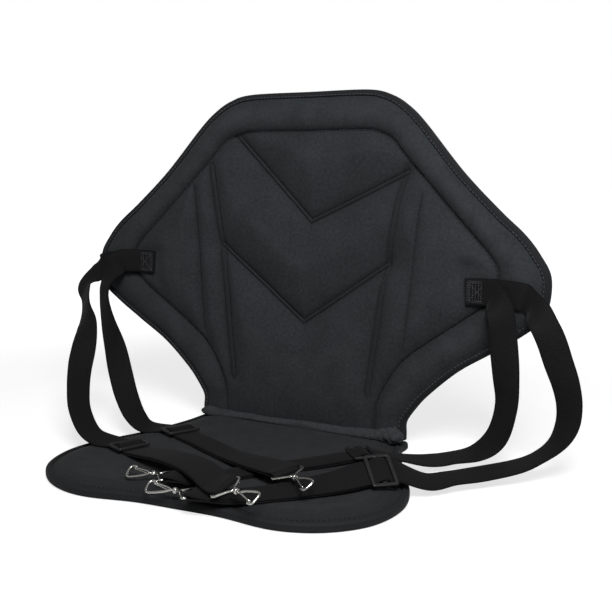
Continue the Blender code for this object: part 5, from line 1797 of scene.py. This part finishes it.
@dataclass
class Harness:
    """The four straps with their sliders and hooks."""

    back: BackShape = field(default_factory=BackShape)

    def straps(self) -> list[Strap]:
        """Routes of the straps, as the solids have them."""
        layer = self.back.centre + GAP + WEB_THICK / 2
        upper = layer + LAYER_STEP
        return [
            Strap(
                "right_inner", Side.RIGHT,
                [(0.181, 0.150, upper), (0.196, 0.151, upper), (0.209, 0.149, upper + 0.0036)],
                [((0.2180, 0.0975, 0.1465), (0.7, 0.5, 0.5)),
                 ((0.2205, 0.1005, 0.1200), (0.9, 0.35, 0.15)),
                 ((0.2220, 0.1055, 0.0895), (1.0, 0.0, 0.05)),
                 ((0.2215, 0.1105, 0.0605), (0.95, -0.35, -0.1)),
                 ((0.2130, 0.1125, 0.0310), (0.85, -0.4, -0.3)),
                 ((0.1960, 0.1085, 0.0145), (0.75, -0.6, -0.2)),
                 ((0.1745, 0.0965, 0.0090), (0.6, -0.8, -0.15)),
                 ((0.1580, 0.0770, 0.0095), (0.6, -0.8, -0.15)),
                 ((0.1370, 0.0620, 0.0135), (0.65, -0.75, 0.0))],
                ((0.1080, 0.0450, 0.0180), -137.0, 0.0, 0.0),
                [((0.078, 0.006, 0.0144), 0.0), ((0.045, -0.035, 0.0140), 0.0),
                 ((0.019, -0.073, 0.0142), 0.0)],
                SnapHook((-0.0015, -0.0955, 0.0200), 188.0, -2.0, 0.0, -34.0),
            ),
            Strap(
                "right_outer", Side.RIGHT,
                [(0.181, 0.150, layer), (0.196, 0.151, layer), (0.212, 0.151, layer + 0.0016),
                 (0.232, 0.150, layer + 0.0036), (0.244, 0.146, layer + 0.0036)],
                [((0.2575, 0.0870, 0.1455), (0.7, 0.5, 0.55)),
                 ((0.2660, 0.0870, 0.1295), (0.85, 0.35, 0.4)),
                 ((0.2715, 0.0925, 0.1100), (0.95, 0.2, 0.25)),
                 ((0.2775, 0.0970, 0.0900), (1.0, 0.0, 0.05)),
                 ((0.2800, 0.1020, 0.0705), (0.95, -0.25, 0.15)),
                 ((0.2780, 0.1050, 0.0520), (0.9, -0.4, 0.05)),
                 ((0.2700, 0.1035, 0.0350), (0.8, -0.6, 0.1)),
                 ((0.2570, 0.0975, 0.0225), (0.7, -0.75, 0.0)),
                 ((0.2410, 0.0850, 0.0150), (0.6, -0.8, -0.15)),
                 ((0.2160, 0.0610, 0.0110), (0.55, -0.8, -0.2)),
                 ((0.1970, 0.0390, 0.0105), (0.55, -0.8, -0.15)),
                 ((0.1820, 0.0180, 0.0115), (0.55, -0.8, -0.3))],
                ((0.1540, -0.0130, 0.0255), -136.0, 0.0, -33.0),
                [((0.128, -0.043, 0.0200), -22.0), ((0.096, -0.075, 0.0160), -10.0),
                 ((0.066, -0.101, 0.0150), -5.0)],
                SnapHook((0.0380, -0.1180, 0.0181), 189.0, 1.6, 2.0, -34.0),
            ),
            Strap(
                "left_outer", Side.LEFT,
                [(0.181, 0.160, layer), (0.196, 0.161, layer), (0.212, 0.160, layer + 0.0016),
                 (0.234, 0.158, layer + 0.0036), (0.246, 0.155, layer + 0.0036)],
                [((-0.2480, 0.1040, 0.1620), (-0.75, 0.25, 0.65)),
                 ((-0.2510, 0.0840, 0.1495), (-0.85, 0.5, 0.25)),
                 ((-0.2395, 0.0675, 0.1375), (-0.8, 0.6, -0.05)),
                 ((-0.2280, 0.0540, 0.1205), (-0.9, 0.5, 0.0)),
                 ((-0.2150, 0.0405, 0.1070), (-1.0, 0.05, 0.05)),
                 ((-0.2060, 0.0250, 0.0885), (-0.8, -0.55, 0.15)),
                 ((-0.1970, 0.0090, 0.0725), (-0.45, -0.9, 0.1)),
                 ((-0.1865, -0.0055, 0.0550), (-0.3, -0.95, 0.1)),
                 ((-0.1735, -0.0185, 0.0380), (-0.15, -1.0, 0.0)),
                 ((-0.1525, -0.0300, 0.0225), (0.0, -1.0, -0.1)),
                 ((-0.1345, -0.0325, 0.0160), (0.2, -0.95, -0.2))],
                ((-0.0960, -0.0360, 0.0170), -22.0, 0.0, 0.0),
                [((-0.058, -0.053, 0.0190), 4.0), ((-0.020, -0.070, 0.0255), 6.0),
                 ((0.020, -0.088, 0.0285), 12.0)],
                SnapHook((0.0640, -0.1120, 0.0264), -20.0, 1.5, 20.0, 36.0),
            ),
            Strap(
                "left_inner", Side.LEFT,
                [(0.181, 0.160, upper), (0.196, 0.161, upper), (0.210, 0.161, upper + 0.0046),
                 (0.222, 0.158, upper + 0.0100)],
                [((-0.2270, 0.0865, 0.1505), (-0.9, 0.45, 0.1)),
                 ((-0.2285, 0.0845, 0.1315), (-0.9, 0.45, -0.05)),
                 ((-0.2180, 0.0780, 0.1065), (-0.95, 0.25, 0.05)),
                 ((-0.2010, 0.0685, 0.0825), (-1.0, -0.1, 0.05)),
                 ((-0.1820, 0.0545, 0.0590), (-0.8, -0.6, -0.05)),
                 ((-0.1645, 0.0425, 0.0390), (-0.55, -0.85, -0.1)),
                 ((-0.1460, 0.0335, 0.0220), (-0.2, -0.95, -0.15)),
                 ((-0.1285, 0.0315, 0.0130), (0.1, -1.0, -0.15))],
                ((-0.0860, 0.0300, 0.0170), -26.0, 0.0, 0.0),
                [((-0.045, 0.011, 0.0144), 0.0), ((0.000, -0.011, 0.0150), 0.0),
                 ((0.045, -0.034, 0.0205), 8.0)],
                SnapHook((0.0890, -0.0580, 0.0262), -34.0, 1.5, 12.0, 36.0),
            ),
        ]

    def build(self, wardrobe: Wardrobe) -> None:
        """Makes every strap, and sews the two upper ends to the wings."""
        batches = []
        fine = Stitch(length=0.0018, pitch=0.0023, radius=0.00028)
        for number, strap in enumerate(self.straps(), 1):
            strap.build(number, wardrobe)
            if strap.name.endswith("inner"):
                rows, level = strap.box_rows()
                batches.append(fine.rows(rows, self.back.place, level_at(level)))
        sewn("strap_end_stitching", batches, wardrobe.edge_thread)
        log.info("harness: four straps")


@dataclass(frozen=True)
class Lamp:
    """A soft square lamp that looks at a point."""

    name: str
    place: tuple[float, float, float]
    size: float
    power: float
    target: tuple[float, float, float] = (0.0, 0.02, 0.14)

    def build(self) -> None:
        """Hangs the lamp."""
        data = bpy.data.lights.new(self.name, "AREA")
        data.shape = "SQUARE"
        data.size = self.size
        data.energy = self.power
        lamp = bpy.data.objects.new(self.name, data)
        bpy.context.scene.collection.objects.link(lamp)
        aim = Vector(self.target) - Vector(self.place)
        lamp.matrix_world = Matrix.Translation(self.place) @ aim.to_track_quat("-Z", "Y").to_matrix().to_4x4()


@dataclass
class Studio:
    """White floor and surroundings, soft lamps and the camera."""

    camera_place: tuple[float, float, float] = (0.46438, -0.69444, 0.27261)
    camera_yaw: float = 0.51089
    camera_pitch: float = 0.14446
    lens: float = 54.57
    sensor: float = 36.0
    ambient: float = 0.11
    reflected: float = 0.22
    floor_glow: float = 0.72
    floor_fade: tuple[float, float] = (0.45, 1.10)
    floor_half: float = 14.0
    floor_drop: float = 0.0002

    def lamps(self) -> list[Lamp]:
        """The soft boxes."""
        return [
            Lamp("key_lamp", (0.50, -0.62, 0.80), 0.40, 11.2),
            Lamp("fill_lamp", (-1.3, -1.4, 1.1), 1.2, 0.9),
            Lamp("back_lamp", (0.3, 1.4, 1.4), 1.2, 4.0),
        ]

    def seen_as(self, sheet: Sheet, lit: float, mirrored_share: float) -> bpy.types.NodeSocket:
        """Brightness of a white surface by ray: 1 for the camera, less in reflections and for the rest.

        Args:
            sheet: node tree that the nodes go into.
            lit: value for diffuse rays.
            mirrored_share: value for glossy and transmission rays.

        Returns:
            The value.
        """
        path = sheet.add("ShaderNodeLightPath").outputs
        mirrored_ray = sheet.math("MAXIMUM", path["Is Glossy Ray"], path["Is Transmission Ray"])
        plain = sheet.ranged(mirrored_ray, lit, mirrored_share)
        return sheet.math("MAXIMUM", plain, path["Is Camera Ray"])

    def build(self) -> None:
        """Sets up the world, the floor, the lamps, the camera and the view transform."""
        scene = bpy.context.scene
        scene.view_settings.view_transform = "Standard"
        world = bpy.data.worlds.new("white_surroundings")
        world.use_nodes = True
        scene.world = world
        sheet = Sheet(world.node_tree)
        background = world.node_tree.nodes["Background"]
        background.inputs["Color"].default_value = (1.0, 1.0, 1.0, 1.0)
        sheet.join(self.seen_as(sheet, self.ambient, self.reflected), background.inputs["Strength"])
        self.build_floor()
        for lamp in self.lamps():
            lamp.build()
        self.build_camera()
        log.info("studio: floor, lamps and camera")

    def build_floor(self) -> None:
        """Pale floor that keeps a soft shadow and turns plain white further out."""
        half, low = self.floor_half, -self.floor_drop
        points = np.array(((-half, -half, low), (half, -half, low), (half, half, low), (-half, half, low)))
        floor = make_mesh("studio_floor", points, [[0, 1, 2, 3]])
        material = bpy.data.materials.new("floor_white")
        material.use_nodes = True
        sheet = Sheet(material.node_tree)
        shader = material.node_tree.nodes["Principled BSDF"]
        place = sheet.add("ShaderNodeTexCoord").outputs["Object"]
        length = sheet.add("ShaderNodeVectorMath", operation="LENGTH")
        sheet.join(place, length.inputs[0])
        spread = sheet.add("ShaderNodeMapRange", interpolation_type="SMOOTHSTEP")
        sheet.join(length.outputs["Value"], spread.inputs["Value"])
        near, far = self.floor_fade
        glow = self.floor_glow
        for label, value in (("From Min", near), ("From Max", far), ("To Min", glow), ("To Max", 1.0)):
            spread.inputs[label].default_value = value
        shine = sheet.math("MULTIPLY", spread.outputs["Result"], self.seen_as(sheet, 0.0, self.reflected))
        shade = sheet.ranged(sheet.noise(place, 3.0), 0.48, 0.52)
        tint = sheet.add("ShaderNodeCombineColor")
        for channel in tint.inputs[:3]:
            sheet.join(shade, channel)
        sheet.join(tint.outputs[0], shader.inputs["Base Color"])
        light = sheet.add("ShaderNodeCombineColor")
        for channel in light.inputs[:3]:
            sheet.join(shine, channel)
        sheet.join(light.outputs[0], shader.inputs["Emission Color"])
        shader.inputs["Emission Strength"].default_value = 1.0
        shader.inputs["Roughness"].default_value = 0.9
        shader.inputs["Specular IOR Level"].default_value = 0.1
        floor.data.materials.append(material)

    def build_camera(self) -> None:
        """Camera at the viewing angle of the photograph."""
        yaw, pitch = self.camera_yaw, self.camera_pitch
        ahead = Vector((-math.sin(yaw) * math.cos(pitch), math.cos(yaw) * math.cos(pitch), -math.sin(pitch)))
        right = Vector((math.cos(yaw), math.sin(yaw), 0.0))
        up = right.cross(ahead)
        data = bpy.data.cameras.new("camera")
        data.lens = self.lens
        data.sensor_width = self.sensor
        camera = bpy.data.objects.new("camera", data)
        bpy.context.scene.collection.objects.link(camera)
        x, y, z = self.camera_place
        camera.matrix_world = Matrix(((right.x, up.x, -ahead.x, x), (right.y, up.y, -ahead.y, y),
                                      (right.z, up.z, -ahead.z, z), (0.0, 0.0, 0.0, 1.0)))
        bpy.context.scene.camera = camera


def main() -> None:
    """Builds the seat piece by piece, then the studio."""
    logging.basicConfig(level=logging.INFO, format="%(name)s: %(message)s")
    nodes = frame["nodes"]
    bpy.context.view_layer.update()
    wardrobe = Wardrobe()
    SeatPad().build(wardrobe, nodes)
    Backrest().build(wardrobe)
    Fold().build(wardrobe, nodes)
    Harness().build(wardrobe)
    Studio().build()


if __name__ == "__main__":
    main()
